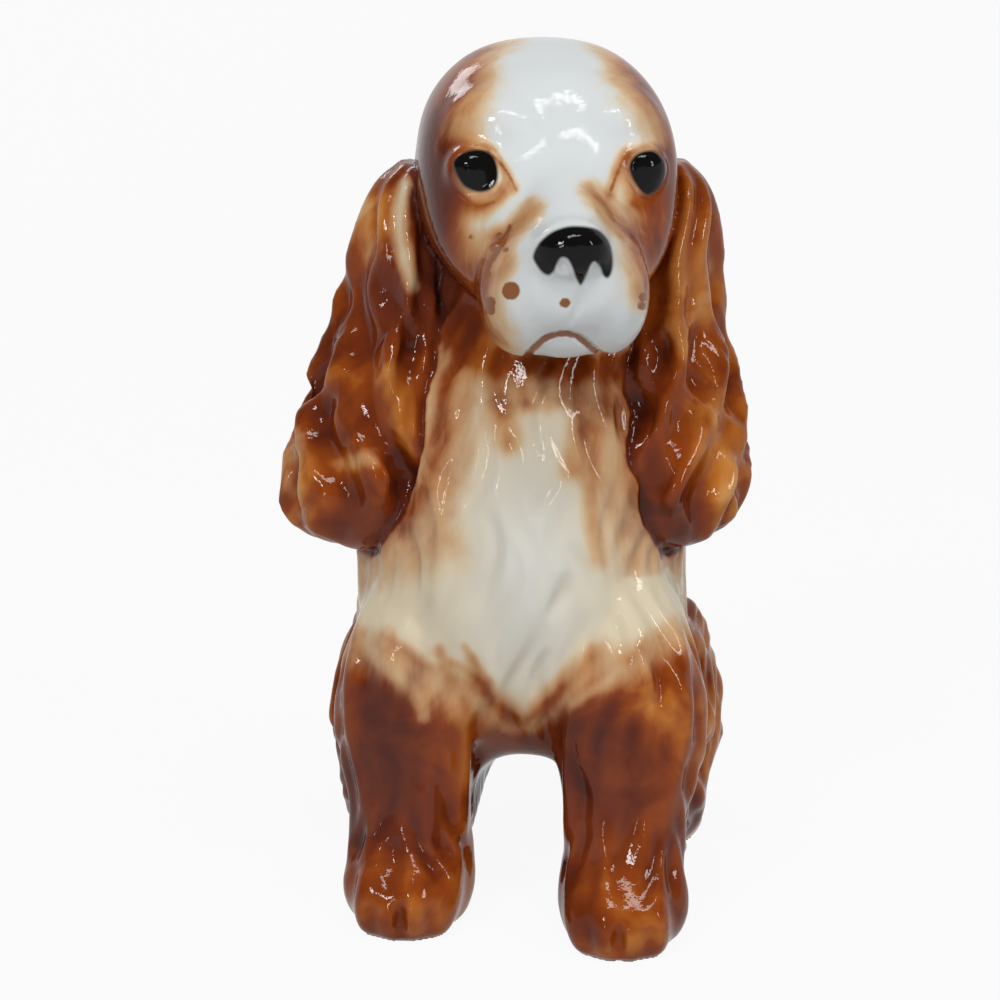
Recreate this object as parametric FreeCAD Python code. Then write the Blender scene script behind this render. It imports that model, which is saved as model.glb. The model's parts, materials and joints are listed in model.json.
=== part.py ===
"""Seated spaniel ornament in glazed earthenware, cast hollow and luted together from eleven pieces.

Millimetres, +Z up. The dog faces -Y, its own left side is +X, and it stands on Z = 0 with the
origin under the middle of its outline. Every piece is drawn a little long, into its neighbour,
and is then trimmed by that neighbour, so that the luted faces always meet. The coat is modelled
as wavy locks that stand out from each form and run from its top to its foot.
"""

import FreeCAD, Part
import math
import os

Vector = FreeCAD.Vector

# Walls of the slip-cast shells, and how far a cutter runs past what it cuts
wall = 3.2
cut_overrun = 12.0

# Torso: a hollow casting from the rump up to the neck seam
torso_height = 110.0
torso_floor = 5.0
torso_half_width = 27.0
chest_reach = 31.5
rump_reach = 42.0
neck_shift = 3.0
chest_relief = 1.6

# Arch under the belly, open from front to back, and the firing vents
arch_half_width = 10.0
arch_centre = 2.6
arch_front_height = 29.0
arch_back_height = 8.5
vent_radius = 3.5
vent_back = 16.0
neck_vent_radius = 5.0

# Head: a hollow casting that sits over the neck stub. Its pivot is placed from the neck's seam
head_shift = 0.7
head_forward = 2.0
head_rise = 10.0
head_turn = 10.0
head_half_width = 20.6
head_crown = 20.0
head_jaw = 25.0
head_back = 21.0
nose_reach = 44.0

# Face
eye_radius = 4.4
brow_half_width = 9.5
brow_half_depth = 9.0
brow_half_height = 8.5
flew_half_width = 6.8
flew_half_length = 11.5
flew_half_height = 10.0
chin_half_width = 7.2
chin_half_length = 8.0
chin_half_height = 5.0
nose_half_width = 6.4
nose_half_length = 4.0
nose_half_height = 4.4

# Ears: long leathers whose hair hangs in thick curls, set on level with the head's pivot
ear_length = 61.0
ear_half_width = 13.0
ear_half_thickness = 9.0
ear_stand_off = 5.4
ear_forward = 12.0
ear_stagger = 2.2
ear_lean = 3.8
ear_relief = 2.6

# Forelegs, tucked into the chest. The stance is a little to the dog's left, with the left paw ahead
shoulder_drop = 44.0
foreleg_half_width = 11.8
foreleg_half_depth = 12.0
foreleg_inset = 9.0
foreleg_centre = 1.6
foreleg_tuck = 2.1
foreleg_stride = 2.6
foreleg_relief = 1.6

# Haunches, from the hind paws back to the rump, and the hind paws
hip_drop = 65.0
haunch_half_width = 10.6
haunch_inset = 4.6
haunch_front = 7.0
haunch_tuck = 1.0
haunch_relief = 2.4
hind_paw_height = 11.0
hind_paw_half_width = 6.4
hind_paw_half_length = 14.0
hind_paw_inset = 0.9
hind_paw_forward = 0.5

# Toe clefts
toe_cleft_half_width = 0.9
toe_cleft_half_depth = 2.4
toe_cleft_half_height = 5.4
toe_spread = 4.8
toe_level = 3.6

# Docked tail
tail_length = 15.0
tail_radius = 5.2
tail_seat = 6.0
tail_level = 17.0
tail_rise = 40.0

# Counts, and the shape of the sections: an oval's corners fill out as the power falls below one
RING_POINTS = 20
POINTS_PER_LOCK = 4
OVAL_POWER = 0.86
QUARTER_TURN = 90.0
FULL_CIRCLE = 2 * math.pi
LEFT, RIGHT = 1, -1

# Coat of a form: locks round it, rings up it, waves in each lock, sideways sway in lock widths, lumpiness
CHEST_COAT_SHARES = (15, 16, 1.5, 0.45, 0.25)
EAR_COAT_SHARES = (7, 16, 1.5, 0.45, 0.40)
FORELEG_COAT_SHARES = (8, 14, 1.0, 0.35, 0.40)
HAUNCH_COAT_SHARES = (9, 12, 1.0, 0.50, 0.45)

# Level, half width, front and back reach, and neck shift, from the torso's floor to its seam
TORSO_SHARES = [
    (0.00, 0.56, 0.30, 0.82, 0.0),
    (0.07, 0.82, 0.36, 0.96, 0.0),
    (0.16, 0.95, 0.55, 1.00, 0.0),
    (0.26, 0.99, 0.84, 0.98, 0.0),
    (0.37, 1.00, 0.97, 0.93, 0.0),
    (0.50, 1.00, 1.00, 0.82, 0.1),
    (0.62, 0.93, 0.95, 0.70, 0.3),
    (0.74, 0.80, 0.83, 0.58, 0.6),
    (0.85, 0.68, 0.66, 0.48, 0.8),
    (0.94, 0.60, 0.48, 0.43, 1.0),
    (1.00, 0.52, 0.38, 0.38, 1.0),
]

# Place along the head (back of the skull positive, nose negative), half width, crown, jaw, pear shape
HEAD_SHARES = [
    (0.98, 0.28, 0.34, 0.22, 0.00),
    (0.86, 0.60, 0.64, 0.52, 0.00),
    (0.62, 0.84, 0.86, 0.72, 0.00),
    (0.30, 0.97, 0.98, 0.84, 0.00),
    (-0.03, 1.00, 1.00, 0.86, 0.00),
    (-0.20, 1.00, 0.94, 0.86, 0.00),
    (-0.34, 0.96, 0.80, 0.86, 0.00),
    (-0.46, 0.87, 0.53, 0.85, 0.03),
    (-0.57, 0.71, 0.17, 0.85, 0.10),
    (-0.69, 0.56, -0.02, 0.86, 0.18),
    (-0.82, 0.50, -0.12, 0.86, 0.20),
    (-0.93, 0.42, -0.20, 0.80, 0.20),
    (-0.99, 0.26, -0.34, 0.62, 0.15),
]

# The head's cavity stops behind the muzzle
HEAD_CAVITY_ROWS = slice(1, 9)

# Places on the head, in shares of its half width, its nose reach, and its crown (up) or jaw (down)
EYE_PLACE_SHARES = (0.631, 0.468, 0.080)
BROW_PLACE_SHARES = (0.408, 0.286, 0.320)
FLEW_PLACE_SHARES = (0.311, 0.705, -0.616)
CHIN_PLACE_SHARES = (0.0, 0.727, -0.824)
NOSE_PLACE_SHARES = (0.0, 0.973, -0.296)

# Level, outward and forward place, half width, half thickness, and the turn of the leather in degrees
EAR_SHARES = [
    (0.000, 0.95, 1.08, 0.22, 0.24, 26.0),
    (0.012, 0.95, 1.08, 0.48, 0.50, 26.5),
    (0.040, 0.96, 1.07, 0.72, 0.76, 27.5),
    (0.100, 0.97, 1.05, 0.92, 0.96, 29.5),
    (0.200, 0.97, 1.00, 1.00, 1.00, 34.0),
    (0.340, 0.95, 0.86, 0.96, 0.88, 42.0),
    (0.500, 0.92, 0.60, 0.90, 0.70, 52.0),
    (0.680, 0.92, 0.30, 0.80, 0.54, 62.0),
    (0.840, 0.92, 0.08, 0.68, 0.44, 73.0),
    (0.940, 0.88, -0.04, 0.54, 0.38, 79.0),
    (1.000, 0.78, -0.10, 0.34, 0.28, 82.0),
]

# Level, half width, half depth, forward place and spread, from the sole to the shoulder
FORELEG_SHARES = [
    (0.00, 0.70, 1.02, 1.00, 0.97),
    (0.06, 0.82, 1.16, 1.00, 0.97),
    (0.13, 0.84, 1.10, 0.96, 0.97),
    (0.21, 0.83, 0.94, 0.86, 0.97),
    (0.32, 0.88, 0.90, 0.78, 0.98),
    (0.45, 0.98, 0.94, 0.72, 1.00),
    (0.60, 1.00, 1.00, 0.66, 0.96),
    (0.76, 0.92, 1.00, 0.56, 0.83),
    (0.89, 0.72, 0.80, 0.46, 0.70),
    (0.96, 0.48, 0.54, 0.42, 0.66),
    (1.00, 0.24, 0.28, 0.40, 0.64),
]

# Level, half width, half length, and forward lean
HAUNCH_SHARES = [
    (0.00, 0.60, 0.84, 0.04),
    (0.10, 0.74, 0.94, 0.04),
    (0.25, 0.88, 1.00, 0.03),
    (0.42, 0.98, 1.00, 0.02),
    (0.60, 0.99, 0.92, 0.02),
    (0.78, 0.84, 0.74, 0.04),
    (0.90, 0.60, 0.52, 0.06),
    (0.97, 0.34, 0.30, 0.07),
    (1.00, 0.16, 0.15, 0.08),
]

# Level, half width and half length
HIND_PAW_SHARES = [
    (0.00, 0.86, 0.92),
    (0.20, 1.00, 1.00),
    (0.50, 0.98, 0.97),
    (0.78, 0.78, 0.80),
    (0.94, 0.48, 0.52),
    (1.00, 0.22, 0.26),
]

# Place along the tail and its radius
TAIL_SHARES = [(-0.4, 1.0), (0.0, 1.0), (0.35, 0.96), (0.65, 0.84), (0.86, 0.62), (1.0, 0.24)]


def steps_round(count):
    """That many angles, evenly spaced round a section."""
    return [FULL_CIRCLE * step / count for step in range(count)]


def filled(value):
    """A sine or cosine drawn out towards the corner of a full oval."""
    return math.copysign(abs(value) ** OVAL_POWER, value)


def closed_curve(points):
    """One smooth closed curve through the points."""
    curve = Part.BSplineCurve()
    places = [step / len(points) for step in range(len(points) + 1)]
    curve.interpolate(Points=points, PeriodicFlag=True, Parameters=places)
    return curve


def skin(sections):
    """The closed solid that runs smoothly through a list of closed curves and is flat at both ends."""
    surface = Part.BSplineSurface()
    surface.buildFromNSections(sections)
    ends = [Part.Face(Part.Wire([curve.toShape()])) for curve in (sections[0], sections[-1])]
    shell = Part.makeShell([surface.toShape()] + ends)
    shell.sewShape()
    solid = Part.makeSolid(shell)
    if solid.Volume < 0:
        solid.reverse()
    return solid


def trimmed(shape, neighbours):
    """The main body of what is left of a shape that its neighbours trim."""
    return max(shape.cut(neighbours).Solids, key=lambda solid: solid.Volume)


def egg(half_x, half_y, half_z, centre):
    """An ellipsoid of three half sizes."""
    stretch = FreeCAD.Matrix()
    stretch.scale(half_x, half_y, half_z)
    solid = Part.makeSphere(1).transformGeometry(stretch)
    solid.translate(centre)
    return solid


def blend_rows(rows, place):
    """The rows' values at a place between them, on a smooth curve. The first column is the place."""
    last = len(rows) - 1
    index = max(i for i in range(last) if i == 0 or rows[i][0] <= place)
    span = rows[index + 1][0] - rows[index][0]
    share = (place - rows[index][0]) / span
    values = []
    for column in range(len(rows[0])):
        slopes = []
        for i in (index, index + 1):
            before, after = rows[max(i - 1, 0)], rows[min(i + 1, last)]
            slopes.append((after[column] - before[column]) / (after[0] - before[0]) * span)
        start, end = rows[index][column], rows[index + 1][column]
        step = end - start
        curve = share * (1 - share) * ((1 - share) * (slopes[0] - step) - share * (slopes[1] - step))
        values.append(start + step * share + curve)
    return values


def level_ring(row, side=LEFT, inset=0.0, coat=None, relief=0.0, share=0.0):
    """One level section. Its own bearings run from its outer side, 0, to its front, a quarter turn back.

    The row holds its level, middle, half width, half depth and turn. The coat's locks stand out by
    relief, and share is how far up the form the section lies.
    """
    level, x, y, half_width, half_depth, turn = row
    locks, _, waves, sway, lumps = coat or (0, 0, 0, 0, 0)
    cos_turn, sin_turn = math.cos(math.radians(turn)), math.sin(math.radians(turn))
    phase = FULL_CIRCLE * sway * math.sin(FULL_CIRCLE * waves * share)
    points = []
    for angle in steps_round(max(RING_POINTS, locks * POINTS_PER_LOCK)):
        strand = locks * angle + phase
        lump = 1 + lumps * math.cos(FULL_CIRCLE * waves * 2 * share + 2 * angle)
        swell = relief * lump * (abs(math.cos(strand / 2)) - 1 / 2) - inset
        along = (half_width + swell) * filled(math.cos(angle))
        across = (half_depth + swell) * filled(math.sin(angle))
        points.append(Vector(x + side * (along * cos_turn - across * sin_turn),
                             y + along * sin_turn + across * cos_turn, level))
    return closed_curve(points[::side])


def form(rows, side=LEFT, inset=0.0):
    """The smooth solid through a form's rows, inside its skin by inset."""
    return skin([level_ring(row, side, inset) for row in rows])


def coated_form(rows, coat, relief, side=LEFT):
    """The solid through a form's rows, with the coat's locks standing out from it by relief."""
    rings = coat[1]
    widest = max(row[3] for row in rows)
    sections = []
    for step in range(rings):
        share = (1 - math.cos(FULL_CIRCLE / 2 * step / (rings - 1))) / 2
        row = blend_rows(rows, rows[0][0] + (rows[-1][0] - rows[0][0]) * share)
        sections.append(level_ring(row, side, 0.0, coat, relief * row[3] / widest, share))
    return skin(sections)


def torso_rows(inset):
    """The torso's sections, or those of the hollow where inset is the wall."""
    low, high = torso_floor + inset, torso_height - inset
    rows = []
    for level, width, front, back, shift in TORSO_SHARES:
        forward, backward = chest_reach * front, rump_reach * back
        rows.append((low + (high - low) * level, neck_shift * shift, (backward - forward) / 2,
                     torso_half_width * width, (forward + backward) / 2, 0.0))
    return rows


def belly_arch(outset):
    """What is cut from under the belly, grown by outset to leave a wall over it."""
    front, back = -chest_reach - cut_overrun, rump_reach + cut_overrun
    slope = (arch_front_height - arch_back_height) / (rump_reach + chest_reach)
    half = arch_half_width + outset
    left, right, foot = arch_centre - half, arch_centre + half, -cut_overrun
    top = arch_front_height + slope * cut_overrun + outset
    spring = top - half / 2
    corners = [Vector(right, front, spring), Vector(right, front, foot),
               Vector(left, front, foot), Vector(left, front, spring)]
    crown = Part.Arc(corners[3], Vector(arch_centre, front, top), corners[0]).toShape()
    sides = [Part.makeLine(a, b) for a, b in zip(corners, corners[1:])]
    mouth = Part.Face(Part.Wire([crown] + sides))
    return mouth.extrude(Vector(0, back - front, -slope * (back - front)))


def neck_passage():
    """The vent that joins the head's hollow to the torso's."""
    return Part.makeCylinder(neck_vent_radius, wall * 2 + cut_overrun * 2,
                             Vector(neck_shift, 0, torso_height - wall - cut_overrun))


def torso_outside():
    """The torso with its coat, over the open arch."""
    return coated_form(torso_rows(0), CHEST_COAT_SHARES, chest_relief).cut(belly_arch(0))


def make_torso(outer):
    """The hollow torso, with its firing vent in the roof of the arch."""
    hollow = form(torso_rows(wall), inset=wall).cut(belly_arch(wall))
    vent = Part.makeCylinder(vent_radius, arch_front_height + cut_overrun, Vector(arch_centre, vent_back, 0))
    return trimmed(outer, hollow.fuse([vent, neck_passage()]))


def place_head(shape):
    """Turns a shape drawn about the head's pivot and puts it on the neck."""
    shape.rotate(Vector(), Vector(0, 0, 1), head_turn)
    shape.translate(Vector(neck_shift + head_shift, -head_forward, torso_height + head_rise))
    return shape


def face_ring(place, half_width, top, bottom, pear_share):
    """An upright section across the head, narrower above and wider below by pear_share."""
    middle, reach = (top + bottom) / 2, (top - bottom) / 2
    return closed_curve([
        Vector(half_width * filled(math.cos(angle)) * (1 - pear_share * math.sin(angle)),
               place, middle + reach * filled(math.sin(angle)))
        for angle in steps_round(RING_POINTS)
    ])


def head_skin(rows, inset):
    """The skull and muzzle through the given rows, or the inside of their wall."""
    sections = []
    for place, width, crown, jaw, pear in rows:
        reach = head_back - inset if place > 0 else nose_reach - inset
        sections.append(face_ring(reach * place, head_half_width * width - inset,
                                  head_crown * crown - inset, inset - head_jaw * jaw, pear))
    return skin(sections)


def on_head(side, place_shares):
    """A place on the head, to one side of its middle."""
    outward, forward, lift = place_shares
    rise = head_crown if lift > 0 else head_jaw
    return Vector(side * head_half_width * outward, -nose_reach * forward, rise * lift)


def head_outside():
    """The skull and muzzle with brows, eyes, flews, chin and nose."""
    features = [
        egg(chin_half_width, chin_half_length, chin_half_height, on_head(LEFT, CHIN_PLACE_SHARES)),
        egg(nose_half_width, nose_half_length, nose_half_height, on_head(LEFT, NOSE_PLACE_SHARES)),
    ]
    for side in (LEFT, RIGHT):
        features += [
            egg(brow_half_width, brow_half_depth, brow_half_height, on_head(side, BROW_PLACE_SHARES)),
            egg(flew_half_width, flew_half_length, flew_half_height, on_head(side, FLEW_PLACE_SHARES)),
            egg(eye_radius, eye_radius, eye_radius, on_head(side, EYE_PLACE_SHARES)),
        ]
    return place_head(head_skin(HEAD_SHARES, 0).fuse(features))


def make_head(outer, torso_outer):
    """The hollow head, seated over the neck stub."""
    hollow = place_head(head_skin(HEAD_SHARES[HEAD_CAVITY_ROWS], wall))
    return trimmed(outer, [hollow, torso_outer, neck_passage()])


def ear_outside(side):
    """An ear, from the side of the head down to its curls on the shoulder."""
    rows = []
    for level, outward, forward, width, thick, turn in EAR_SHARES:
        rows.append((torso_height + head_rise - ear_length * (1 - level),
                     side * (head_half_width + ear_stand_off) * outward + ear_lean * level,
                     side * ear_stagger - ear_forward * forward,
                     ear_half_width * width, ear_half_thickness * thick, turn + side * head_turn))
    return coated_form(rows, EAR_COAT_SHARES, ear_relief, side)


def toe_clefts(x, y):
    """The cutters for the three clefts of a paw whose toes end at that place."""
    return [
        egg(toe_cleft_half_width, toe_cleft_half_depth, toe_cleft_half_height,
            Vector(x + toe_spread * place, y, toe_level))
        for place in (-1, 0, 1)
    ]


def foreleg_outside(side):
    """A foreleg with its paw, from the sole up into the shoulder."""
    rows = []
    for level, width, depth, forward, spread in FORELEG_SHARES:
        rows.append(((torso_height - shoulder_drop) * level,
                     foreleg_centre + side * (torso_half_width - foreleg_inset) * spread,
                     (foreleg_tuck - chest_reach) * forward - side * foreleg_stride * (1 - level),
                     foreleg_half_width * width, foreleg_half_depth * depth, 0.0))
    _, toe_x, toe_y, _, reach, _ = rows[1]
    leg = coated_form(rows, FORELEG_COAT_SHARES, foreleg_relief, side)
    return leg.cut(toe_clefts(toe_x, toe_y - reach))


def haunch_outside(side):
    """A thigh that rests on the ground, from the rump to the hind paw."""
    half_length = (rump_reach - haunch_tuck + haunch_front) / 2
    rows = []
    for level, width, length, lean in HAUNCH_SHARES:
        rows.append(((torso_height - hip_drop) * level, side * (torso_half_width - haunch_inset),
                     half_length * (1 - lean) - haunch_front,
                     haunch_half_width * width, half_length * length, 0.0))
    return coated_form(rows, HAUNCH_COAT_SHARES, haunch_relief, side)


def hind_paw_outside(side):
    """A hind paw that comes out from under its haunch."""
    spread = torso_half_width - haunch_inset - hind_paw_inset
    rows = []
    for level, width, length in HIND_PAW_SHARES:
        rows.append((hind_paw_height * level, side * spread, -hind_paw_forward,
                     hind_paw_half_width * width, hind_paw_half_length * length, 0.0))
    _, toe_x, toe_y, _, reach, _ = rows[1]
    return form(rows, side).cut(toe_clefts(toe_x, toe_y - reach))


def tail_outside():
    """The docked tail, which points up and back from the rump."""
    rows = [(tail_length * place, 0, 0, tail_radius * radius, tail_radius * radius, 0.0)
            for place, radius in TAIL_SHARES]
    tail = form(rows)
    tail.rotate(Vector(), Vector(1, 0, 0), tail_rise - QUARTER_TURN)
    tail.translate(Vector(0, rump_reach - tail_seat, tail_level))
    return tail


def main():
    """Builds the pieces and writes one STEP file for each."""
    torso_outer = torso_outside()
    head_outer = head_outside()
    pieces = {
        "torso_shell": make_torso(torso_outer),
        "head_shell": make_head(head_outer, torso_outer),
        "tail": trimmed(tail_outside(), [torso_outer]),
    }
    for side, name in ((LEFT, "left"), (RIGHT, "right")):
        foreleg, haunch = foreleg_outside(side), haunch_outside(side)
        pieces[name + "_foreleg"] = trimmed(foreleg, [torso_outer])
        pieces[name + "_haunch"] = trimmed(haunch, [torso_outer])
        pieces[name + "_hind_paw"] = trimmed(hind_paw_outside(side), [torso_outer, haunch])
        pieces[name + "_ear"] = trimmed(ear_outside(side), [head_outer, torso_outer, foreleg])
    os.makedirs("parts", exist_ok=True)
    for name, shape in pieces.items():
        shape.exportStep("parts/" + name + ".step")
        print(name, len(shape.Solids), round(shape.Volume), shape.isValid())


main()
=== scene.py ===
"""Glazed finish of a seated spaniel ornament: one cast skin, its modelled coat and face, and its glazes.

Blender works in metres. The clay is worked in millimetres. +Z is up and the dog faces -Y.
The castings are fused into one skin, so that the slip joins between them run smooth. The coat is
carved into that skin, the face is modelled, and the skin is then parted again along the joins,
one closed piece for each casting.
"""

import json
import logging
import math
from dataclasses import dataclass
from enum import Enum

import bmesh
import bpy
import numpy as np
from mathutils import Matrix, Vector
from mathutils.bvhtree import BVHTree
from mathutils.kdtree import KDTree

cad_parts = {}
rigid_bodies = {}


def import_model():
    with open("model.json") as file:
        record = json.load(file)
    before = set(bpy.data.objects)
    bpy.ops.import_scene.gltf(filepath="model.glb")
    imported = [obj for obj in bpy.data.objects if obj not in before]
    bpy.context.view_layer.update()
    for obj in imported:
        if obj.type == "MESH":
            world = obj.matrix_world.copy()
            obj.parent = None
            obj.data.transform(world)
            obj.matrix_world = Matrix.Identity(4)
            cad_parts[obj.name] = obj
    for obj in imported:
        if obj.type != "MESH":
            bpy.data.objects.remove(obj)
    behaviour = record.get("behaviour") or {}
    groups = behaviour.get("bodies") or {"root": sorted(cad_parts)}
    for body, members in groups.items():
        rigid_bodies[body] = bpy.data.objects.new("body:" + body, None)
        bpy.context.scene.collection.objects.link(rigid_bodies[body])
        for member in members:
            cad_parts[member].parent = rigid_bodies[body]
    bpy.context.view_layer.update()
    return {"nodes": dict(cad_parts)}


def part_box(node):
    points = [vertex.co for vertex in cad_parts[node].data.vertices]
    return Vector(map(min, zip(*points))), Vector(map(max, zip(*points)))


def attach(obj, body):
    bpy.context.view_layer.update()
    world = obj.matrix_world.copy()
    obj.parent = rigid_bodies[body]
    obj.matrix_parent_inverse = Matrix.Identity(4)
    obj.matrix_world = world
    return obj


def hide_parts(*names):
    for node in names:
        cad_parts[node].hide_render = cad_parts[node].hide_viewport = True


LOG = logging.getLogger("spaniel")
MM = 0.001
FULL_CIRCLE = 2 * math.pi

FACET = 0.00048  # size of the skin's facets, in metres
BEAD = 0.35  # between the points that sample a groove, in millimetres
STRIDE = 0.8  # between the points that lay a groove out, in millimetres
SOLE = 0.35  # height under which the clay is flattened, in millimetres
FAR = 9.0  # out of reach, in pixels or in millimetres


class Side(Enum):
    """The dog's own two sides."""

    LEFT = "left"
    RIGHT = "right"


def unit(vectors: np.ndarray) -> np.ndarray:
    """Vectors made one long."""
    return vectors / np.maximum(np.linalg.norm(vectors, axis=-1, keepdims=True), 1e-9)


def ramp(values: np.ndarray, start: float, end: float) -> np.ndarray:
    """A smooth step from 0 at start to 1 at end."""
    share = np.clip((values - start) / (end - start), 0.0, 1.0)
    return share * share * (3 - 2 * share)


def ripple(points: np.ndarray, size: float, seed: int) -> np.ndarray:
    """A smooth random field over points.

    Args:
        points: Places in millimetres.
        size: About how wide its lumps are, in millimetres.
        seed: Which field it is.

    Returns:
        A value from about -1 to 1 for each point.
    """
    dice = np.random.default_rng(seed)
    total = np.zeros(len(points))
    for _ in range(10):
        way = unit(dice.normal(size=3))
        length = size * dice.uniform(1.3, 2.6)
        total += np.sin(points @ way * FULL_CIRCLE / length + dice.uniform(0, FULL_CIRCLE))
    return np.clip(total / 3, -1.2, 1.2)


def rounded(corners: tuple[tuple[float, ...], ...], closed: bool = False, steps: int = 5) -> np.ndarray:
    """A smooth line through corners.

    Args:
        corners: The points that it goes through.
        closed: Whether it comes back to its start.
        steps: How many points each run is divided into.

    Returns:
        The points of the line, with the first one again at the end where it is closed.
    """
    knots = np.array(corners, float)
    count = len(knots)
    runs = count if closed else count - 1
    line = []
    for run in range(runs):
        if closed:
            a, b, c, d = (knots[(run + shift) % count] for shift in (-1, 0, 1, 2))
        else:
            a, b, c, d = (knots[min(max(run + shift, 0), count - 1)] for shift in (-1, 0, 1, 2))
        for step in range(steps):
            t = step / steps
            line.append(0.5 * (2 * b + (c - a) * t + (2 * a - 5 * b + 4 * c - d) * t ** 2
                               + (3 * b - a - 3 * c + d) * t ** 3))
    line.append(knots[0] if closed else knots[-1])
    return np.array(line)


def apart(places: np.ndarray, line: np.ndarray) -> np.ndarray:
    """The distance from each place to the nearest part of a line."""
    best = np.full(len(places), 1e9)
    for a, b in zip(line, line[1:]):
        run = b - a
        share = np.clip((places - a) @ run / max(run @ run, 1e-9), 0, 1)
        best = np.minimum(best, np.linalg.norm(places - a - share[:, None] * run, axis=1))
    return best


def boxed(places: np.ndarray, low: np.ndarray, high: np.ndarray) -> np.ndarray:
    """Which places lie in the box between two corners."""
    return ((places > low) & (places < high)).all(axis=1)


def gathered(items: bpy.types.bpy_prop_collection, field: str, kind: type = np.int32,
             width: int = 1) -> np.ndarray:
    """One field of all vertices, edges, corners or faces of a mesh.

    Args:
        items: The vertices, edges, corners or faces.
        field: The field's name.
        kind: The type of its numbers.
        width: How many numbers it has.

    Returns:
        A number for each item, or a row of them where the width is more than one.
    """
    flat = np.empty(len(items) * width, kind)
    items.foreach_get(field, flat)
    return flat if width == 1 else flat.reshape(-1, width)


def made_mesh(bm: bmesh.types.BMesh, name: str) -> bpy.types.Mesh:
    """Writes a bmesh to a new mesh and frees it."""
    mesh = bpy.data.meshes.new(name)
    bm.to_mesh(mesh)
    bm.free()
    return mesh


def search_tree(mesh: bpy.types.Mesh) -> BVHTree:
    """A search tree over a mesh's faces, in millimetres."""
    bm = bmesh.new()
    bm.from_mesh(mesh)
    bmesh.ops.scale(bm, vec=Vector((1, 1, 1)) / MM, verts=bm.verts)
    found = BVHTree.FromBMesh(bm)
    bm.free()
    return found


def set_out(name: str, data: bpy.types.ID) -> bpy.types.Object:
    """Puts a new object with this data into the scene."""
    made = bpy.data.objects.new(name, data)
    bpy.context.scene.collection.objects.link(made)
    return made


@dataclass(frozen=True)
class PhotoView:
    """The viewpoint of the photograph, which also carries pixel places onto the skin.

    Args:
        azimuth: Bearing of the camera, in degrees.
        elevation: Height of the camera over the horizon, in degrees.
        distance: From the camera to the target, in metres.
        target: What it looks at, in metres.
        focal: Focal length in pixels.
        frame: Width and height of the picture in pixels.
        sensor: Width of the sensor in millimetres.
    """

    azimuth: float = 5.0
    elevation: float = 14.0
    distance: float = 0.470
    target: tuple[float, float, float] = (-0.0034, 0.0, 0.0634)
    focal: float = 2815.0
    frame: int = 1000
    sensor: float = 36.0

    def axes(self) -> tuple[np.ndarray, np.ndarray, np.ndarray]:
        """The camera's right, up and backward directions."""
        a, e = math.radians(self.azimuth), math.radians(self.elevation)
        back = np.array([math.sin(a) * math.cos(e), -math.cos(a) * math.cos(e), math.sin(e)])
        right = np.array([math.cos(a), math.sin(a), 0.0])
        return right, np.cross(back, right), back

    def eye(self) -> np.ndarray:
        """Where the camera stands, in millimetres."""
        return (np.array(self.target) + self.axes()[2] * self.distance) / MM

    def pixels(self, points: np.ndarray) -> np.ndarray:
        """Pixel places of points given in millimetres."""
        right, up, back = self.axes()
        rays = points - self.eye()
        depth = -(rays @ back)
        return np.stack([self.frame / 2 + self.focal * (rays @ right) / depth,
                         self.frame / 2 - self.focal * (rays @ up) / depth], axis=1)

    def facing(self, points: np.ndarray, normals: np.ndarray) -> np.ndarray:
        """How squarely each point of the skin faces the camera, from -1 to 1."""
        return np.sum(unit(self.eye() - points) * normals, axis=1)

    def hit(self, tree: BVHTree, pixel: np.ndarray) -> list[float]:
        """The place on the skin that a pixel shows, in millimetres."""
        right, up, back = self.axes()
        half = self.frame / 2
        ray = -back + right * (pixel[0] - half) / self.focal + up * (half - pixel[1]) / self.focal
        place, _, _, _ = tree.ray_cast(Vector(self.eye()), Vector(ray).normalized())
        return list(place)

    def place(self) -> None:
        """Makes the scene's camera."""
        _, _, back = self.axes()
        lens = bpy.data.cameras.new("camera")
        lens.sensor_width = self.sensor
        lens.lens = self.focal * self.sensor / self.frame
        camera = set_out("camera", lens)
        camera.location = Vector(self.target) + Vector(back) * self.distance
        camera.rotation_mode = "QUATERNION"
        camera.rotation_quaternion = Vector(-back).to_track_quat("-Z", "Y")
        bpy.context.scene.camera = camera


VIEW = PhotoView()


@dataclass(frozen=True)
class Groove:
    """A line cut into the clay, or raised on it where the depth is negative.

    Args:
        path: Points on the skin, in millimetres.
        width: Half its width, in millimetres.
        depth: Its depth in the middle, in millimetres.
        tapered: Whether it thins out towards its ends.
    """

    path: np.ndarray
    width: float
    depth: float
    tapered: bool = True

    def samples(self) -> tuple[np.ndarray, np.ndarray]:
        """Closely spaced points along the line, and the depth at each."""
        spans = np.linalg.norm(np.diff(self.path, axis=0), axis=1)
        reach = np.concatenate([[0.0], np.cumsum(spans)])
        count = max(int(reach[-1] / BEAD) + 1, 2)
        places = np.linspace(0, reach[-1], count)
        points = np.stack([np.interp(places, reach, self.path[:, axis]) for axis in range(3)], axis=1)
        ends = np.sin(np.linspace(0, math.pi, count)) ** 0.7 if self.tapered else np.ones(count)
        return points, self.depth * ends


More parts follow.
